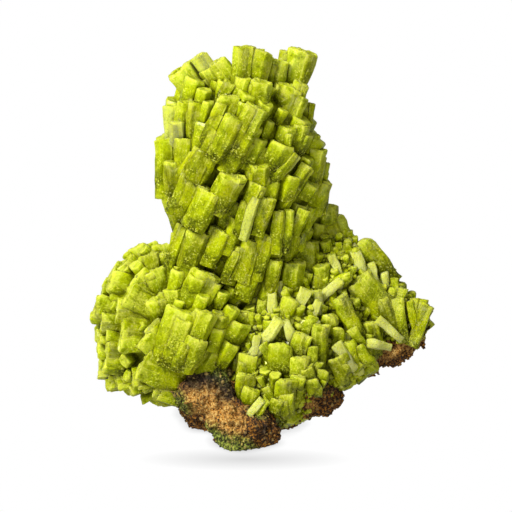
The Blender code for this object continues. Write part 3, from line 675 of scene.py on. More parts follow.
def spray_back(seed):
    """The crystals on the far side of the rosette."""
    dice = random.Random(seed)
    lump = SPRAY_LUMPS[0]
    for place in range(SPRAY_BACK_COUNT):
        radius = SPRAY_BACK_REACH * math.sqrt((place + 0.5) / SPRAY_BACK_COUNT)
        right = radius * math.cos(place * GOLDEN_TURN)
        above = radius * math.sin(place * GOLDEN_TURN)
        behind = math.sqrt(1 - radius**2)
        if right > SPRAY_BACK_INNER:
            continue
        across = lump.across + lump.half_across * right
        up = lump.up + lump.half_up * above
        out = lump.out - lump.half_out * behind
        lean = math.degrees(math.atan2(right, above)) + dice.uniform(-ROLL_SPREAD, ROLL_SPREAD)
        tip = -SPRAY_BACK_TIP * math.degrees(math.asin(behind)) + dice.uniform(-UNEVEN_TURN, UNEVEN_TURN)
        wide = dice.uniform(*SPRAY_BACK_WIDE)
        domed = dice.random() < DOMED_SHARE
        row = Crystal(across, up, lean, wide, SPRAY_BACK_LONG, tip, dome=domed)
        yield row, seen_point(across, up, out), dice.uniform(-ROLL_SPREAD, ROLL_SPREAD)


# The smooth grown-together bodies behind the crystals, sunk this far under the growths' skins.
TOWER_SINK = 2.3
FOOT_SINK = 1.3
SPRAY_SINK = 2.6
APRON_SINK = 1.7
CORE_AROUND = 40
CORE_RINGS = 22
# The cores take the mark of a crystal's lower part, and with it the darker root colour that is partly
# painted shade.
CORE_NEAR_TIP = 0.45
CORE_TINT = 0.5


def add_core(pile, rings):
    """Adds one body from its rings: each the middle, and two half-way vectors."""
    turns = np.arange(CORE_AROUND) * math.tau / CORE_AROUND
    places = []
    for middle, right, out in rings:
        places.append(np.array(middle) + np.outer(np.cos(turns), right) + np.outer(np.sin(turns), out))
    places.append(np.array([places[0].mean(axis=0), places[-1].mean(axis=0)]))
    places = np.vstack(places)
    marks = np.zeros((len(places), 4))
    marks[:, 0] = CORE_NEAR_TIP
    marks[:, 2] = CORE_TINT
    pile.add(places, places / MM, marks, len(rings), CORE_AROUND, turned=True)


def lump_rings(lump, sink):
    half_across, half_up, half_out = lump.half_across - sink, lump.half_up - sink, lump.half_out - sink
    for step in range(CORE_RINGS):
        angle = math.pi * (step + 0.5) / CORE_RINGS
        wide = math.sin(angle)
        middle = seen_point(lump.across, lump.up - half_up * math.cos(angle), lump.out)
        yield middle, RIGHT_WAY * half_across * wide, OUT_WAY * half_out * wide


def tower_core_rings():
    low, high = TOWER_RINGS[0].up, TOWER_RINGS[-1].up
    for step in range(CORE_RINGS):
        up = low + (high - low) * step / (CORE_RINGS - 1)
        across, out, half_across, half_deep = tower_ring(up)
        middle = seen_point(across, up, out)
        yield middle, RIGHT_WAY * (half_across - TOWER_SINK), OUT_WAY * (half_deep - TOWER_SINK)


def srgb(red, green, blue):
    """A colour in the renderer's own light values, from the 0 to 255 values that a screen shows."""
    shares = (channel / 255 for channel in (red, green, blue))
    return tuple(s / 12.92 if s <= 0.04045 else ((s + 0.055) / 1.055) ** 2.4 for s in shares) + (1.0,)


# Colours, as a screen shows them.
LIME = srgb(199, 215, 0)
LIME_BRIGHT = srgb(218, 232, 0)
LIME_DEEP = srgb(112, 124, 0)
LIME_DARK = srgb(60, 62, 0)
SUGAR = srgb(230, 240, 40)
GRAIN_SHADE = (0.52, 0.55, 0.08, 1.0)
# The pale of the ends, and the painted highlights on their rims and lips.
END_PALE_AND_HIGHLIGHT = srgb(236, 246, 86)
PALE_CRYSTAL = srgb(248, 255, 142)
# The pale frosting, and the painted glints.
FROST_AND_GLINT = srgb(246, 252, 98)
GLOSS = srgb(252, 255, 90)
LIMONITE_ORANGE = srgb(214, 146, 48)
LIMONITE_TAN = srgb(244, 204, 118)
LIMONITE_BROWN = srgb(118, 74, 26)
LIMONITE_DARK = srgb(40, 26, 10)
MOSS = srgb(128, 148, 40)
MOSS_LIGHT = srgb(178, 196, 84)
CHARCOAL = srgb(84, 82, 66)

# How the crystals take the light: the same all over, so set on the shader's own sockets.
WAX = {
    "Specular IOR Level": 0.4, "Specular Tint": GLOSS, "Coat Weight": 0.15, "Coat Roughness": 0.18,
    "Subsurface Weight": 0.6, "Subsurface Radius": (0.9, 1.0, 0.1), "Subsurface Scale": 1.8 * MM,
}
# The reach of the painted shade in crevices and between crystals.
CREVICE_SHADE_REACH = 4.0

# Where the sugar lies thickest as the front view shows it: across, up, out, and how far it reaches.
TOWER_SUGAR = (
    (-11.5, 24.0, 0.5, 4.5),
    (-8.8, 19.5, -0.5, 3.6),
    (-13.5, 66.0, 12.0, 3.4),
    (-8.6, 60.0, 19.0, 3.0),
)
SPRAY_SUGAR = ((-21.0, 29.5, -3.0, 4.0), (-16.0, 22.0, -3.0, 4.0), (-26.0, 12.5, -7.0, 3.0))
APRON_SUGAR = (
    (31.0, 30.5, -8.5, 4.6),
    (12.0, 18.0, -1.5, 5.0),
    (4.0, 30.0, -2.5, 3.6),
    (7.5, 38.0, -4.0, 3.0),
)
SUGAR_EDGE = 3.0
SUGAR_RAGGED = 3.0

# Patches of the crust in the same way. The last three of orange and the last of moss are on the back.
ORANGE_SPOTS = (
    (-7.5, 9.5, -1.2, 5.6),
    (-2.5, 7.5, 0.0, 4.6),
    (25.0, 17.0, -11.7, 3.2),
    (30.0, 19.5, -11.5, 2.6),
    (34.5, 23.0, -12.5, 4.6),
    (15.0, 9.0, -4.3, 2.6),
    (2.0, 26.0, -30.0, 9.0),
    (-9.0, 12.0, -30.0, 8.0),
    (20.0, 18.0, -24.0, 8.0),
)
MOSS_SPOTS = (
    (-3.0, 0.5, -1.9, 4.8),
    (-7.0, 3.6, -2.6, 3.8),
    (1.5, 0.5, -1.0, 3.0),
    (-12.5, 9.5, -4.3, 3.8),
    (-4.0, 17.2, -3.1, 4.4),
    (4.0, 9.5, -1.5, 3.2),
    (10.0, 13.0, -32.0, 8.0),
)
DARK_SPOTS = (
    (-2.0, 12.5, -2.6, 3.2),
    (-8.6, 15.4, -2.6, 4.2),
    (-5.0, 14.6, -1.6, 2.6),
    (5.4, 4.6, -0.5, 2.6),
    (20.0, 13.0, -6.0, 2.6),
)
GREEN_SPOTS = (
    (12.6, 13.6, -4.0, 2.6),
    (16.4, 14.0, -4.2, 2.2),
    (19.2, 16.0, -6.0, 2.2),
    (8.6, 11.0, -3.0, 2.4),
)
MOSS_COVER = 0.85
DARK_COVER = 0.8
SPOT_EDGE = 2.0
SPOT_RAGGED = 5.0

NUMBER = "NodeSocketFloat"
VECTOR = "NodeSocketVector"
GEOMETRY = "NodeSocketGeometry"


def add_node(tree, kind, inputs=(), **settings):
    """Adds one node. `inputs` gives each socket, by name or number, a value or another node's output."""
    node = tree.nodes.new(kind)
    for setting, value in settings.items():
        setattr(node, setting, value)
    for socket, value in dict(inputs).items():
        if isinstance(value, bpy.types.NodeSocket):
            tree.links.new(value, node.inputs[socket])
        else:
            node.inputs[socket].default_value = value
    return node


def new_group(name, kind, inputs, outputs):
    """An empty node group with its named sockets, and its own input and output nodes."""
    group = bpy.data.node_groups.new(name, kind)
    for in_out, sockets in (("INPUT", inputs), ("OUTPUT", outputs)):
        for socket, (socket_kind, value) in sockets.items():
            made = group.interface.new_socket(socket, in_out=in_out, socket_type=socket_kind)
            if value is not None:
                made.default_value = value
    return group, group.nodes.new("NodeGroupInput").outputs, group.nodes.new("NodeGroupOutput").inputs


def use_group(tree, group, inputs):
    return add_node(tree, "ShaderNodeGroup", inputs, node_tree=group).outputs


def mixed(tree, share, first, second, blend="MIX"):
    """The colour that lies this share of the way from the first to the second."""
    inputs = {"Factor": share, 6: first, 7: second}
    return add_node(tree, "ShaderNodeMix", inputs, data_type="RGBA", blend_type=blend).outputs[2]


def maths(tree, operation, first, second=0.0, clamp=False):
    inputs = {0: first, 1: second}
    return add_node(tree, "ShaderNodeMath", inputs, operation=operation, use_clamp=clamp).outputs[0]


def vector_maths(tree, operation, first, second=(0, 0, 0), output="Vector"):
    inputs = {0: first, 1: second}
    return add_node(tree, "ShaderNodeVectorMath", inputs, operation=operation).outputs[output]


def ranged(tree, value, low, high, to_low=0.0, to_high=1.0):
    inputs = {0: value, 1: low, 2: high, 3: to_low, 4: to_high}
    return add_node(tree, "ShaderNodeMapRange", inputs, clamp=True).outputs[0]


def cloudy(tree, place, scale, detail, rough=0.5):
    inputs = {"Vector": place, "Scale": scale, "Detail": detail, "Roughness": rough}
    return add_node(tree, "ShaderNodeTexNoise", inputs).outputs[0]


def grainy(tree, place, scale):
    """How far each place is from the middle of its grain."""
    return add_node(tree, "ShaderNodeTexVoronoi", {"Vector": place, "Scale": scale}).outputs["Distance"]


def open_sky(tree, reach, samples):
    """How open each place is, looking no further than this reach."""
    node = add_node(tree, "ShaderNodeAmbientOcclusion", {"Distance": reach * MM}, samples=samples)
    return node.outputs["AO"]


def painted(tree, colour, layers):
    """The colour under its layers: each a mark, where it starts and ends with its shares, and a paint."""
    for value, limits, paint in layers:
        colour = mixed(tree, ranged(tree, value, *limits), colour, paint)
    return colour


def bumped(tree, layers):
    """A normal with heights laid one over another: each with its strength and its size."""
    normal = None
    for height, strength, size in layers:
        inputs = {"Height": height, "Strength": strength, "Distance": size * MM}
        if normal is not None:
            inputs["Normal"] = normal
        normal = add_node(tree, "ShaderNodeBump", inputs).outputs[0]
    return normal


def mark(tree, name, output="Fac"):
    return add_node(tree, "ShaderNodeAttribute", attribute_name=name).outputs[output]


def sugar_group():
    """Granular frosting: a mask of where it lies, which is its height too."""
    inputs = {
        "Place": (VECTOR, None), "Grain": (NUMBER, 0.35), "Patch": (NUMBER, 4.0),
        "Amount": (NUMBER, 0.4), "Bar": (NUMBER, 0.84), "Steepness": (NUMBER, 12.0),
    }
    group, given, out = new_group("sugar", "ShaderNodeTree", inputs, {"Mask": (NUMBER, None)})
    finer = maths(group, "DIVIDE", 1 / MM, given["Grain"])
    wider = maths(group, "DIVIDE", 1 / MM, given["Patch"])
    patches = cloudy(group, given["Place"], wider, 5.0, 0.68)
    over = maths(group, "SUBTRACT", patches, maths(group, "SUBTRACT", given["Bar"], given["Amount"]))
    spread = maths(group, "MULTIPLY", over, given["Steepness"], clamp=True)
    grain = maths(group, "SUBTRACT", 1.0, grainy(group, given["Place"], finer))
    group.links.new(maths(group, "MULTIPLY", spread, grain), out["Mask"])
    return group


def growth_group():
    """Fine lines along a crystal and faint steps across it, read in the crystal's own directions."""
    inputs = {"Grown": (VECTOR, None), "Fineness": (NUMBER, 2.2), "Steps": (NUMBER, 0.25)}
    group, given, out = new_group("growth_lines", "ShaderNodeTree", inputs, {"Height": (NUMBER, None)})
    squeezed = vector_maths(group, "MULTIPLY", given["Grown"], (1, 1, 0.1))
    lines = cloudy(group, squeezed, given["Fineness"], 3.0, 0.6)
    crossed = vector_maths(group, "MULTIPLY", given["Grown"], (0.12, 0.12, 1))
    steps = cloudy(group, crossed, given["Fineness"], 2.0)
    weak = maths(group, "MULTIPLY", steps, given["Steps"])
    group.links.new(maths(group, "ADD", lines, weak), out["Height"])
    return group


def patch_group():
    """A ragged patch round a point of the specimen."""
    inputs = {
        "Place": (VECTOR, None), "Middle": (VECTOR, None), "Reach": (NUMBER, 5.0),
        "Edge": (NUMBER, 2.0), "Raggedness": (NUMBER, 3.0), "Fineness": (NUMBER, 0.45 / MM),
    }
    group, given, out = new_group("ragged_patch", "ShaderNodeTree", inputs, {"Mask": (NUMBER, None)})
    away = vector_maths(group, "DISTANCE", given["Place"], given["Middle"], "Value")
    ragged = maths(group, "SUBTRACT", cloudy(group, given["Place"], given["Fineness"], 4.0), 0.5)
    shift = maths(group, "MULTIPLY", ragged, given["Raggedness"])
    reached = maths(group, "ADD", maths(group, "MULTIPLY", away, 1 / MM), shift)
    left = maths(group, "SUBTRACT", given["Reach"], reached)
    group.links.new(maths(group, "DIVIDE", left, given["Edge"], clamp=True), out["Mask"])
    return group


def patch_mask(tree, groups, place, spot, edge, ragged):
    across, up, out, reach = spot
    middle = tuple(seen_point(across, up, out))
    inputs = {"Place": place, "Middle": middle, "Reach": reach, "Edge": edge, "Raggedness": ragged}
    return use_group(tree, groups["patch"], inputs)["Mask"]


def new_material(name):
    material = bpy.data.materials.new(name)
    material.use_nodes = True
    tree = material.node_tree
    place = add_node(tree, "ShaderNodeTexCoord").outputs["Object"]
    return material, tree, tree.nodes["Principled BSDF"], place


def pyromorphite(name, groups, frost, pale, sugared):
    """Waxy yellow-green crystal, deeper to the root, with a paler end, granular frosting, painted shade and
    highlights.
    """
    material, tree, shader, place = new_material(name)
    marks = ("near_tip", "end_face", "tint", "edge")
    near_tip, end_face, tint, corner = (mark(tree, mark_name) for mark_name in marks)
    grown = mark(tree, "grown", "Vector")
    growth = use_group(tree, groups["growth"], {"Grown": grown})["Height"]
    sugar = use_group(tree, groups["sugar"], {"Place": place, "Amount": frost})["Mask"]
    glint_noise = cloudy(tree, place, 2.3 / MM, 2.0, 0.6)
    cloud = cloudy(tree, place, 0.28 / MM, 3.0)
    blotch = cloudy(tree, place, 0.6 / MM, 3.0)
    fine = cloudy(tree, vector_maths(tree, "MULTIPLY", grown, (1, 1, 0.75)), 2.6, 3.0, 0.75)
    open_air_for_shade = open_sky(tree, CREVICE_SHADE_REACH, 8)

    def times(first, second):
        return maths(tree, "MULTIPLY", first, second)

    # Darker towards the root, where the crystals crowd together: in part their own deeper colour, in part
    # painted shade between them.
    colour = painted(tree, LIME_DARK, (
        (near_tip, (0.05, 0.42), LIME_DEEP),
        (near_tip, (0.28, 0.86), LIME),
        (tint, (0.0, 0.45, 0.4, 0.0), LIME_DEEP),
        (blotch, (0.54, 0.36, 0.0, 0.45), LIME_DEEP),
        # Painted shade: the middle of each side a little deeper than its corners, for light passing through
        # more of the crystal there.
        (corner, (0.5, 0.0, 0.0, 0.25), LIME_DEEP),
        (cloud, (0.42, 0.66, 0.0, 0.8), LIME_BRIGHT),
        (tint, (0.83, 0.90, 0.0, pale), PALE_CRYSTAL),
        (fine, (0.53, 0.66, 0.0, 0.6), SUGAR),
    ))
    colour = mixed(tree, ranged(tree, fine, 0.48, 0.36, 0.0, 0.75), colour, GRAIN_SHADE, "MULTIPLY")

    # The frosted end; painted highlights along the corners near the end and on the rounded lip of the end;
    # the face of the end, its own pale colour with the lip's painted highlight; and the painted glints.
    frosted = times(ranged(tree, near_tip, 0.70, 0.94), ranged(tree, blotch, 0.42, 0.55))
    # The rim is a painted highlight along the corners near the end.
    rim = times(ranged(tree, times(corner, near_tip), 0.46, 0.85), ranged(tree, blotch, 0.36, 0.48))
    # The lip is a painted highlight on the rounded edge of the end.
    lip_highlight = times(ranged(tree, end_face, 0.1, 0.4), ranged(tree, end_face, 1.0, 0.7))
    face = maths(tree, "MAXIMUM", times(end_face, 0.6 * pale), times(lip_highlight, 0.9))
    face = times(face, ranged(tree, blotch, 0.38, 0.55, 0.35, 1.0))
    # Painted glints: small bright specks standing in for sparkle off the crystal's facets.
    glints = times(ranged(tree, glint_noise, 0.57, 0.62), ranged(tree, blotch, 0.42, 0.56, 0.2, 0.9))
    coat = sugar
    for spot in sugared:
        near = patch_mask(tree, groups, place, spot, SUGAR_EDGE, SUGAR_RAGGED)
        coat = maths(tree, "MAXIMUM", coat, times(near, ranged(tree, fine, 0.46, 0.58)))
    for share, paint in (
        (times(frosted, 0.6), END_PALE_AND_HIGHLIGHT), (rim, END_PALE_AND_HIGHLIGHT), (face, END_PALE_AND_HIGHLIGHT),
        (glints, FROST_AND_GLINT), (times(coat, 0.7), FROST_AND_GLINT),
    ):
        colour = mixed(tree, share, colour, paint)
    # Painted shade: darker in crevices and between crystals, where little is open round a place.
    colour = painted(tree, colour, ((open_air_for_shade, (0.56, 0.14, 0.0, 0.92), LIME_DARK),))
    rough = maths(tree, "ADD", ranged(tree, cloud, 0.3, 0.7, 0.24, 0.38), times(sugar, 0.25))
    normal = bumped(tree, ((growth, 0.5, 0.18), (fine, 0.8, 0.35), (sugar, 0.8, 0.3)))
    for socket, value in (("Base Color", colour), ("Roughness", rough), ("Normal", normal)):
        tree.links.new(value, shader.inputs[socket])
    for socket, value in WAX.items():
        shader.inputs[socket].default_value = value
    return material


def limonite(groups):
    """Sandy iron-brown crust with orange, dark and mossy patches."""
    material, tree, shader, place = new_material("limonite_crust")
    cloud = cloudy(tree, place, 0.5 / MM, 6.0, 0.7)
    fine = cloudy(tree, place, 2.2 / MM, 3.0, 0.7)
    sand = grainy(tree, place, 1.5 / MM)
    tint = mark(tree, "tint")
    colour = painted(tree, LIMONITE_DARK, (
        (fine, (0.44, 0.52), LIMONITE_BROWN),
        (fine, (0.52, 0.62), LIMONITE_ORANGE),
    ))
    orange = painted(tree, LIMONITE_DARK, (
        (fine, (0.38, 0.46), LIMONITE_ORANGE),
        (fine, (0.49, 0.58), LIMONITE_TAN),
        (cloud, (0.48, 0.36, 0.0, 0.8), LIMONITE_BROWN),
    ))
    moss = painted(tree, LIMONITE_DARK, ((fine, (0.42, 0.52), MOSS), (fine, (0.52, 0.62), MOSS_LIGHT)))
    black = painted(tree, LIMONITE_DARK, ((fine, (0.48, 0.60), CHARCOAL),))
    green = painted(tree, LIME_DARK, ((fine, (0.42, 0.54), LIME_DEEP), (fine, (0.52, 0.64), LIME)))
    for spots, cover, paint in (
        (ORANGE_SPOTS, 1.0, orange), (MOSS_SPOTS, MOSS_COVER, moss), (DARK_SPOTS, DARK_COVER, black),
        (GREEN_SPOTS, 1.0, green),
    ):
        for spot in spots:
            mask = patch_mask(tree, groups, place, spot, SPOT_EDGE, SPOT_RAGGED)
            colour = mixed(tree, maths(tree, "MULTIPLY", mask, cover), colour, paint)
    colour = painted(tree, colour, (
        (tint, (0.65, 1.0, 0.0, 0.6), LIMONITE_TAN),
        (tint, (0.30, 0.0, 0.0, 0.7), LIMONITE_DARK),
    ))
    rough = ranged(tree, fine, 0.3, 0.7, 0.75, 0.98)
    normal = bumped(tree, ((cloud, 0.7, 0.7), (sand, 0.8, 0.3), (fine, 1.0, 0.4)))
    for socket, value in (("Base Color", colour), ("Roughness", rough), ("Normal", normal)):
        tree.links.new(value, shader.inputs[socket])
    return material


# What the smallest growth is made of, crumbs and sand too. A kind of small crystal is its width, its
# length and whether it is domed, and no kinds at all means crumbs.
SMALL_CORNER = 4.0
SMALL_RIM = 0.12
SMALL_HOLLOW = 0.10
SMALL_DOME_HOLLOW = -0.08
SMALL_SIDES = (0.8, 1.05)
SMALL_SLANT = (0.1, 0.35)
CRUMB_KINDS = 4
CRUMB_ACROSS = 1.5
CRUMB_UNEVEN = (0.7, 1.25)
CRUMB_NEAR_TIP = 0.93
SAND_ACROSS = 0.75
DENSEST = 4.0e6
PICK_MOST = 99

Small = namedtuple("Small", "kinds spacing upright uprightness spread thick long facing")
SAND = Small((), 0.85, (0.0, 0.0, 1.0), 0.0, 0.8, (0.5, 1.3), (0.5, 1.2), 1.0)


def random_value(tree, kind, low, high, seed):
    place = ("FLOAT_VECTOR", "FLOAT", "INT").index(kind)
    inputs = {2 * place: low, 2 * place + 1: high, "Seed": seed}
    return add_node(tree, "FunctionNodeRandomValue", inputs, data_type=kind).outputs[place]


def scatter_tree():
    """Geometry nodes that grow small crystals on a surface, leaning from its normal to one way."""
    inputs = {
        "Surface": (GEOMETRY, None), "Kinds": ("NodeSocketCollection", None), "Spacing": (NUMBER, 1.6 * MM),
        "Thickness Least": (NUMBER, 0.6), "Thickness Most": (NUMBER, 1.3),
        "Length Least": (NUMBER, 0.6), "Length Most": (NUMBER, 1.4), "Facing Share": (NUMBER, 0.5),
        "Upright": (VECTOR, (0, 0, 1)), "Uprightness": (NUMBER, 0.6), "Spread": (NUMBER, 0.3),
        "Seed": ("NodeSocketInt", 0), "Finish": ("NodeSocketMaterial", None),
    }
    outputs = {"Crystals": (GEOMETRY, None)}
    tree, given, out = new_group("small_crystals", "GeometryNodeTree", inputs, outputs)
    seed = given["Seed"]
    other = maths(tree, "ADD", seed, 1.0)
    points = add_node(
        tree, "GeometryNodeDistributePointsOnFaces",
        {"Mesh": given["Surface"], "Distance Min": given["Spacing"], "Density Max": DENSEST, "Seed": seed},
        distribute_method="POISSON",
    ).outputs

    # Each points between the surface's normal and upright, with a little wander.
    way = add_node(
        tree, "ShaderNodeMix", {"Factor": given["Uprightness"], 4: points["Normal"], 5: given["Upright"]},
        data_type="VECTOR",
    ).outputs[1]
    wander = random_value(tree, "FLOAT_VECTOR", (-1, -1, -1), (1, 1, 1), seed)
    leaning = vector_maths(tree, "ADD", way, vector_maths(tree, "MULTIPLY", wander, given["Spread"]))
    aligned = add_node(tree, "FunctionNodeAlignRotationToVector", {"Vector": leaning}, axis="Z").outputs[0]
    turn = random_value(tree, "FLOAT", 0.0, math.tau, seed)
    about = add_node(tree, "FunctionNodeAxisAngleToRotation", {"Axis": (0, 0, 1), "Angle": turn}).outputs[0]
    turned = {"Rotation": aligned, "Rotate By": about}
    rotation = add_node(tree, "FunctionNodeRotateRotation", turned, rotation_space="LOCAL").outputs[0]

    # One that stands straight out of the surface is shorter than one that lies along it.
    thick = random_value(tree, "FLOAT", given["Thickness Least"], given["Thickness Most"], seed)
    long = random_value(tree, "FLOAT", given["Length Least"], given["Length Most"], other)
    facing = vector_maths(tree, "DOT_PRODUCT", points["Normal"], leaning, "Value")
    long = maths(tree, "MULTIPLY", long, ranged(tree, facing, 0.2, 0.9, 1.0, given["Facing Share"]))
    size = add_node(tree, "ShaderNodeCombineXYZ", {0: thick, 1: thick, 2: long}).outputs[0]

    kinds = add_node(
        tree, "GeometryNodeCollectionInfo",
        {"Collection": given["Kinds"], "Separate Children": True, "Reset Children": True},
    ).outputs[0]
    pick = random_value(tree, "INT", 0, PICK_MOST, seed)
    grown = add_node(
        tree, "GeometryNodeInstanceOnPoints",
        {"Points": points["Points"], "Instance": kinds, "Pick Instance": True, "Instance Index": pick,
         "Rotation": rotation, "Scale": size},
    ).outputs[0]
    tinted = add_node(
        tree, "GeometryNodeStoreNamedAttribute",
        {"Geometry": grown, "Name": "tint", "Value": random_value(tree, "FLOAT", 0.0, 1.0, other)},
        data_type="FLOAT", domain="INSTANCE",
    ).outputs[0]
    real = add_node(tree, "GeometryNodeRealizeInstances", {"Geometry": tinted}).outputs[0]
    finished = add_node(tree, "GeometryNodeSetMaterial", {"Geometry": real, "Material": given["Finish"]})
    tree.links.new(finished.outputs[0], out["Crystals"])
    return tree


def evaluated_mesh(obj):
    return bpy.data.meshes.new_from_object(obj.evaluated_get(bpy.context.evaluated_depsgraph_get()))


def scattered(name, tree, surface, small, kinds, seed, finish):
    """Runs the tree on a surface and returns the plain mesh that it makes, as a finished object."""
    values = {
        "Kinds": kinds, "Spacing": small.spacing * MM, "Upright": small.upright, "Spread": small.spread,
        "Uprightness": small.uprightness, "Facing Share": small.facing, "Seed": seed, "Finish": finish,
    }
    for measure, limits in (("Thickness", small.thick), ("Length", small.long)):
        values[measure + " Least"], values[measure + " Most"] = limits
    modifier = surface.modifiers.new("grow", "NODES")
    modifier.node_group = tree
    for item in tree.interface.items_tree:
        if item.item_type == "SOCKET" and item.in_out == "INPUT" and item.name in values:
            modifier[item.identifier] = values[item.name]
    mesh = evaluated_mesh(surface)
    surface.modifiers.remove(modifier)
    obj = bpy.data.objects.new(name, mesh)
    bpy.context.scene.collection.objects.link(obj)
    for template in list(kinds.objects):
        bpy.data.objects.remove(template)
    bpy.data.collections.remove(kinds)
    return obj


def small_crystal(name, wide, long, domed, dice):
    """One small crystal with crisp faces, standing on the origin, for the trees to copy."""
    half_turn = math.pi / SIDES
    turns = [360 / SIDES * side + turn for side in range(SIDES) for turn in (-SMALL_CORNER, SMALL_CORNER)]
    turns = np.radians(turns)
    distances = [math.cos(half_turn) * dice.uniform(*SMALL_SIDES) for _ in range(SIDES)]
    reach = hexagon_reach(turns - half_turn, distances) * wide / 2
    slant_way, slant = dice.uniform(0, math.tau), dice.uniform(*SMALL_SLANT)
    if domed:
        hollow = SMALL_DOME_HOLLOW
        low, high = long * 0.6, long * 0.86
        rings = ((0, 0.9, 0, 0), (low, 1.05, 0.6, 0), (high, 0.88, 0.9, 0.4), (long, 0.5, 1, 1))
    else:
        hollow = SMALL_HOLLOW
        shoulder = long - SMALL_RIM * wide
        rings = ((0, 0.9, 0, 0), (long * 0.5, 1, 0.5, 0), (shoulder, 1, 0.9, 0.1), (long, 0.86, 1, 0.9))
    local, marks = [], []
    for along, width, near_end, end_share in rings:
        x, y = np.cos(turns) * reach * width, np.sin(turns) * reach * width
        tilt = slant * near_end**3 * (x * math.cos(slant_way) + y * math.sin(slant_way))
        local.append(np.column_stack((x, y, along + tilt)))
        marks.extend([(near_end, end_share, 0.5, 0.6)] * len(turns))
    local.append(np.array([(0, 0, 0), (0, 0, long - hollow * wide)]))
    marks.extend([(0, 0, 0.5, 0), (1, 1, 0.5, 0)])
    local = np.vstack(local)
    pile = Pile()
    pile.add(local * MM, local, np.array(marks), len(rings), len(turns))
    template = pile.to_object(name, None)
    template.data.shade_flat()
    bpy.context.scene.collection.objects.unlink(template)
    return template


def crumb(name, wide, dice):
    """One angular crumb."""
    mesh = bpy.data.meshes.new(name)
    bm = bmesh.new()
    bmesh.ops.create_icosphere(bm, subdivisions=1, radius=wide / 2 * MM)
    for vert in bm.verts:
        vert.co *= dice.uniform(*CRUMB_UNEVEN)
    bm.to_mesh(mesh)
    bm.free()
    store_values(mesh, "near_tip", np.full(len(mesh.vertices), CRUMB_NEAR_TIP))
    return bpy.data.objects.new(name, mesh)


def small_kinds(kinds, crumb_across, seed):
    """A collection of small crystals of these kinds, or of crumbs."""
    dice = random.Random(seed)
    collection = bpy.data.collections.new("small_kinds")
    for number, kind in enumerate(kinds):
        collection.objects.link(small_crystal(f"small_{number}", *kind, dice))
    for number in range(0 if kinds else CRUMB_KINDS):
        collection.objects.link(crumb(f"crumb_{number}", crumb_across, dice))
    return collection


# The crust: its grid, how high its flat base is kept, its lumps, grit and pits, and where its lower
# edge is lifted or lowered: across, how far that reaches, and the share of the lift.
CRUST_VOXEL = 0.45
CRUST_SMOOTHING = 6
CRUST_FLAT = 0.15
CRUST_RISE = 1.5
LUMP_HIGH = 0.6
LUMP_FINENESS = 0.22
GRIT_HIGH = 0.7
GRIT_MIDDLE = 0.6
GRIT_FINENESS = 0.75
PIT_DEEP = 1.8
PIT_FINENESS = 0.7
PIT_BAR = 0.1
PIT_SHIFT = Vector((9, 4, 2))
EDGE_LIFT = 1.2
EDGE_LIFTS = ((23.5, 3.0, 1.0), (32.5, 2.5, -0.8))


def remade(obj, kind, **settings):
    """Gives the object the plain mesh that one modifier makes of it."""
    modifier = obj.modifiers.new(kind.lower(), kind)
    for setting, value in settings.items():
        setattr(modifier, setting, value)
    plain = evaluated_mesh(obj)
    obj.modifiers.clear()
    old, obj.data = obj.data, plain
    bpy.data.meshes.remove(old)


def matrix_crust(name, node, finish):
    """The crust: the node's own solid, remeshed finely, roughened and pitted, flat underneath."""
    mesh = node.data.copy()
    bm = bmesh.new()
    bm.from_mesh(mesh)
    bmesh.ops.remove_doubles(bm, verts=bm.verts, dist=0.001 * MM)
    bm.to_mesh(mesh)
    bm.free()
    obj = finished_object(name, mesh, finish)
    remade(obj, "REMESH", mode="VOXEL", voxel_size=CRUST_VOXEL * MM)
    remade(obj, "SMOOTH", factor=0.5, iterations=CRUST_SMOOTHING)
    mesh = obj.data
    count = len(mesh.vertices)
    flat_places, flat_normals = np.empty(count * 3), np.empty(count * 3)
    mesh.vertices.foreach_get("co", flat_places)
    mesh.vertex_normals.foreach_get("vector", flat_normals)
    places, normals = flat_places.reshape(-1, 3), flat_normals.reshape(-1, 3)
    for place, normal in zip(places, normals):
        spot = Vector(place / MM)
        share = min(1.0, max(0.0, (spot.z - CRUST_FLAT) / CRUST_RISE))
        lumps = noise.fractal(spot * LUMP_FINENESS, 0.9, 2.1, 5)
        grit = noise.turbulence(spot * GRIT_FINENESS, 4, False)
        pit = max(0.0, noise.noise(spot * PIT_FINENESS + PIT_SHIFT) - PIT_BAR)
        push = LUMP_HIGH * lumps + GRIT_HIGH * (grit - GRIT_MIDDLE) - PIT_DEEP * pit
        place += normal * push * MM * share
        lift = 0.0
        for across, reach, part in EDGE_LIFTS:
            lift += part * math.exp(-(((spot.x - across) / reach) ** 2))
        place[2] += EDGE_LIFT * lift * MM * share
    mesh.vertices.foreach_set("co", places.ravel())
    mesh.update()
    store_values(mesh, "tint", np.full(count, 0.5))
    mesh.materials.clear()
    mesh.materials.append(finish)
    mesh.shade_smooth()
    return obj


# Camera, lights and floor. The pool is the soft shade under the specimen: its middle and half axes in
# metres, and how dark it is.
FLOOR_HALF = 4.0
FLOOR_NEAR = 2.5
FLOOR_SHADE = 0.72
FLOOR_GLOW = 0.3
POOL_MIDDLE = (0.001, -0.0225, 0)
POOL_HALVES = (0.021, 0.006, 1)
LIGHT_TARGET = Vector((0, 0, 0.04))
ROOM_LIGHT = 0.22


def pixel_place(x, y):
    """Where a pixel of the photograph lies in the front view, in millimetres across and up."""
    return (x - FOOT_PIXEL[0]) * PIXEL_MM, (FOOT_PIXEL[1] - y) * PIXEL_MM


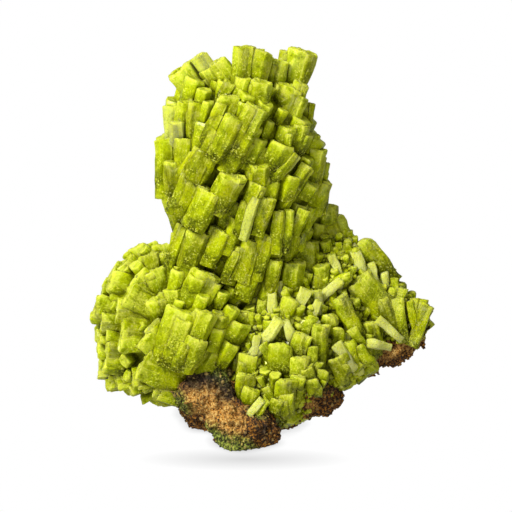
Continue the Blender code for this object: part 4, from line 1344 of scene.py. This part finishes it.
def add_camera():
    middle = pixel_place(PHOTO_SIDE / 2, PHOTO_SIDE / 2)
    target = seen_point(*middle, CAMERA_DEPTH_MM)
    data = bpy.data.cameras.new("camera")
    data.sensor_width = 36.0
    data.lens = data.sensor_width * CAMERA_DISTANCE_MM / (PHOTO_SIDE * PIXEL_MM)
    data.clip_start = 0.05
    camera = bpy.data.objects.new("camera", data)
    camera.location = target + TOWARDS_VIEWER * CAMERA_DISTANCE_MM * MM
    camera.rotation_euler = (math.pi / 2 - VIEW_TILT, 0, 0)
    bpy.context.scene.collection.objects.link(camera)
    bpy.context.scene.camera = camera


def add_softbox(name, place, size, watts):
    """A square soft light at a place in metres, turned to the specimen."""
    data = bpy.data.lights.new(name, "AREA")
    data.shape = "SQUARE"
    data.size = size
    data.energy = watts
    light = bpy.data.objects.new(name, data)
    light.location = place
    light.rotation_euler = (LIGHT_TARGET - Vector(place)).to_track_quat("-Z", "Y").to_euler()
    bpy.context.scene.collection.objects.link(light)


def add_lights():
    add_softbox("key", (-0.42, -0.42, 0.62), 0.2, 7.2)
    add_softbox("front_fill", (-0.12, -0.8, 0.16), 0.3, 1.2)
    add_softbox("back_edge", (-0.35, 0.45, 0.45), 0.3, 1.0)
    world = bpy.data.worlds.new("studio")
    world.use_nodes = True
    background = world.node_tree.nodes["Background"]
    background.inputs["Color"].default_value = (1, 1, 1, 1)
    background.inputs["Strength"].default_value = ROOM_LIGHT
    bpy.context.scene.world = world
    bpy.context.scene.view_settings.view_transform = "Standard"


def add_floor():
    """A white floor that only darkens close to what stands on it."""
    bm = bmesh.new()
    bmesh.ops.create_grid(bm, x_segments=1, y_segments=1, size=FLOOR_HALF)
    mesh = bpy.data.meshes.new("floor")
    bm.to_mesh(mesh)
    bm.free()
    material, tree, shader, place = new_material("floor_white")
    near = open_sky(tree, FLOOR_NEAR, 16)
    about = vector_maths(tree, "SUBTRACT", place, POOL_MIDDLE)
    about = vector_maths(tree, "DIVIDE", about, POOL_HALVES)
    away = vector_maths(tree, "LENGTH", about, output="Value")
    pool = ranged(tree, away, 0.0, 1.0, FLOOR_SHADE, 1.0)
    shade = maths(tree, "MULTIPLY", ranged(tree, near, 0.2, 0.9, FLOOR_SHADE, 1.0), pool)
    glow = add_node(tree, "ShaderNodeEmission", {"Color": (1, 1, 1, 1), "Strength": shade})
    dim = add_node(tree, "ShaderNodeEmission", {"Color": (1, 1, 1, 1), "Strength": FLOOR_GLOW})
    seen = add_node(tree, "ShaderNodeLightPath").outputs["Is Camera Ray"]
    both = add_node(tree, "ShaderNodeMixShader", {0: seen, 1: dim.outputs[0], 2: glow.outputs[0]})
    tree.links.new(both.outputs[0], tree.nodes["Material Output"].inputs["Surface"])
    tree.nodes.remove(shader)
    finished_object("floor", mesh, material)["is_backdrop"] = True


Growth = namedtuple("Growth", "node crystals cores finish uneven small")


def all_growths(groups):
    """The three growths: their crystals by piece, their cores, finish, waves and small crystals."""
    foot = placed(FOOT, lump_skin(FOOT_LUMPS), 2, 0.45, 1.4, 1.1)
    spray = placed(SPRAY, lump_skin(SPRAY_LUMPS), 4, 0.45, 1.0, 1.1, 0.62)
    apron = placed(APRON, lump_skin(APRON_LUMPS), 6, 0.55, 1.0, 1.0, 0.8)
    tower_stubs = ((5.0, 7.0, False), (4.0, 6.2, False), (5.6, 6.2, False))
    spray_stubs = ((4.0, 5.0, False), (3.2, 4.4, False), (4.6, 4.6, False))
    apron_stubs = ((2.6, 4.2, False), (2.0, 4.0, False), (3.2, 3.8, False), (2.6, 3.6, True))
    return (
        Growth(
            "crystal_tower",
            {
                "tower_blades": placed(TOWER, tower_skin, 1, 0.45, 0.8),
                "tower_foot_and_back": [*foot, *tower_back(3)],
            },
            [tower_core_rings(), *(lump_rings(lump, FOOT_SINK) for lump in FOOT_LUMPS)],
            pyromorphite("tower_crystal", groups, 0.22, 0.55, TOWER_SUGAR),
            1.1,
            (Small(tower_stubs, 3.9, (0.35, 0.15, 1.0), 0.85, 0.12, (0.7, 1.2), (0.7, 1.05), 0.3),),
        ),
        Growth(
            "crystal_spray",
            {"spray_blades": [*spray, *spray_back(5)]},
            [lump_rings(lump, SPRAY_SINK) for lump in SPRAY_LUMPS],
            pyromorphite("spray_crystal", groups, 0.24, 0.6, SPRAY_SUGAR),
            1.5,
            (Small(spray_stubs, 3.4, (-0.9, 0.1, 0.35), 0.55, 0.2, (0.7, 1.2), (0.7, 1.1), 0.5),),
        ),
        Growth(
            "crystal_apron",
            {"apron_prisms": apron},
            [lump_rings(lump, APRON_SINK) for lump in APRON_LUMPS],
            pyromorphite("apron_crystal", groups, 0.29, 1.0, APRON_SUGAR),
            1.7,
            (
                Small(apron_stubs, 2.3, (0.0, 0.1, 1.0), 0.75, 0.35, (0.7, 1.25), (0.5, 0.85), 0.5),
                Small((), 0.85, (0.0, -0.4, 0.6), 0.2, 0.5, (0.6, 1.5), (0.6, 1.6), 1.0),
            ),
        ),
    )


def grow(growth, seed, tree):
    """Makes one growth's crystals, their grown-together roots and the small crystals between them."""
    dice = random.Random(seed + 20)
    pieces = []
    for name, rows in growth.crystals.items():
        pile = Pile()
        for row, end, roll in rows:
            add_with_companions(pile, row, end, roll, dice)
        pieces.append(pile.to_object(name, growth.finish, growth.uneven))
    roots = Pile()
    for rings in growth.cores:
        add_core(roots, list(rings))
    surface = roots.to_object(growth.node + "_roots", growth.finish, growth.uneven)
    for number, small in enumerate(growth.small):
        kinds = small_kinds(small.kinds, CRUMB_ACROSS, seed)
        name = f"{growth.node}_small_{number}"
        pieces.append(scattered(name, tree, surface, small, kinds, seed * 10 + number, growth.finish))
    for piece in (*pieces, surface):
        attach(piece, "root")
        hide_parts(growth.node)


def main():
    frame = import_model()
    cad_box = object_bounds()
    add_camera()
    groups = {"sugar": sugar_group(), "growth": growth_group(), "patch": patch_group()}
    tree = scatter_tree()
    for seed, growth in enumerate(all_growths(groups)):
        grow(growth, seed, tree)

    crust_finish = limonite(groups)
    crust = matrix_crust("matrix_crust", frame["nodes"]["matrix"], crust_finish)
    sand_kinds = small_kinds((), SAND_ACROSS, 5)
    sand = scattered("limonite_sand", tree, crust, SAND, sand_kinds, 7, crust_finish)
    for piece in (crust, sand):
        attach(piece, "root")
        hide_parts("matrix")

    add_lights()
    add_floor()
    boxes = {"cad": cad_box, "visual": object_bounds()}
    {name: [list(corner) for corner in box] for name, box in boxes.items()}


main()
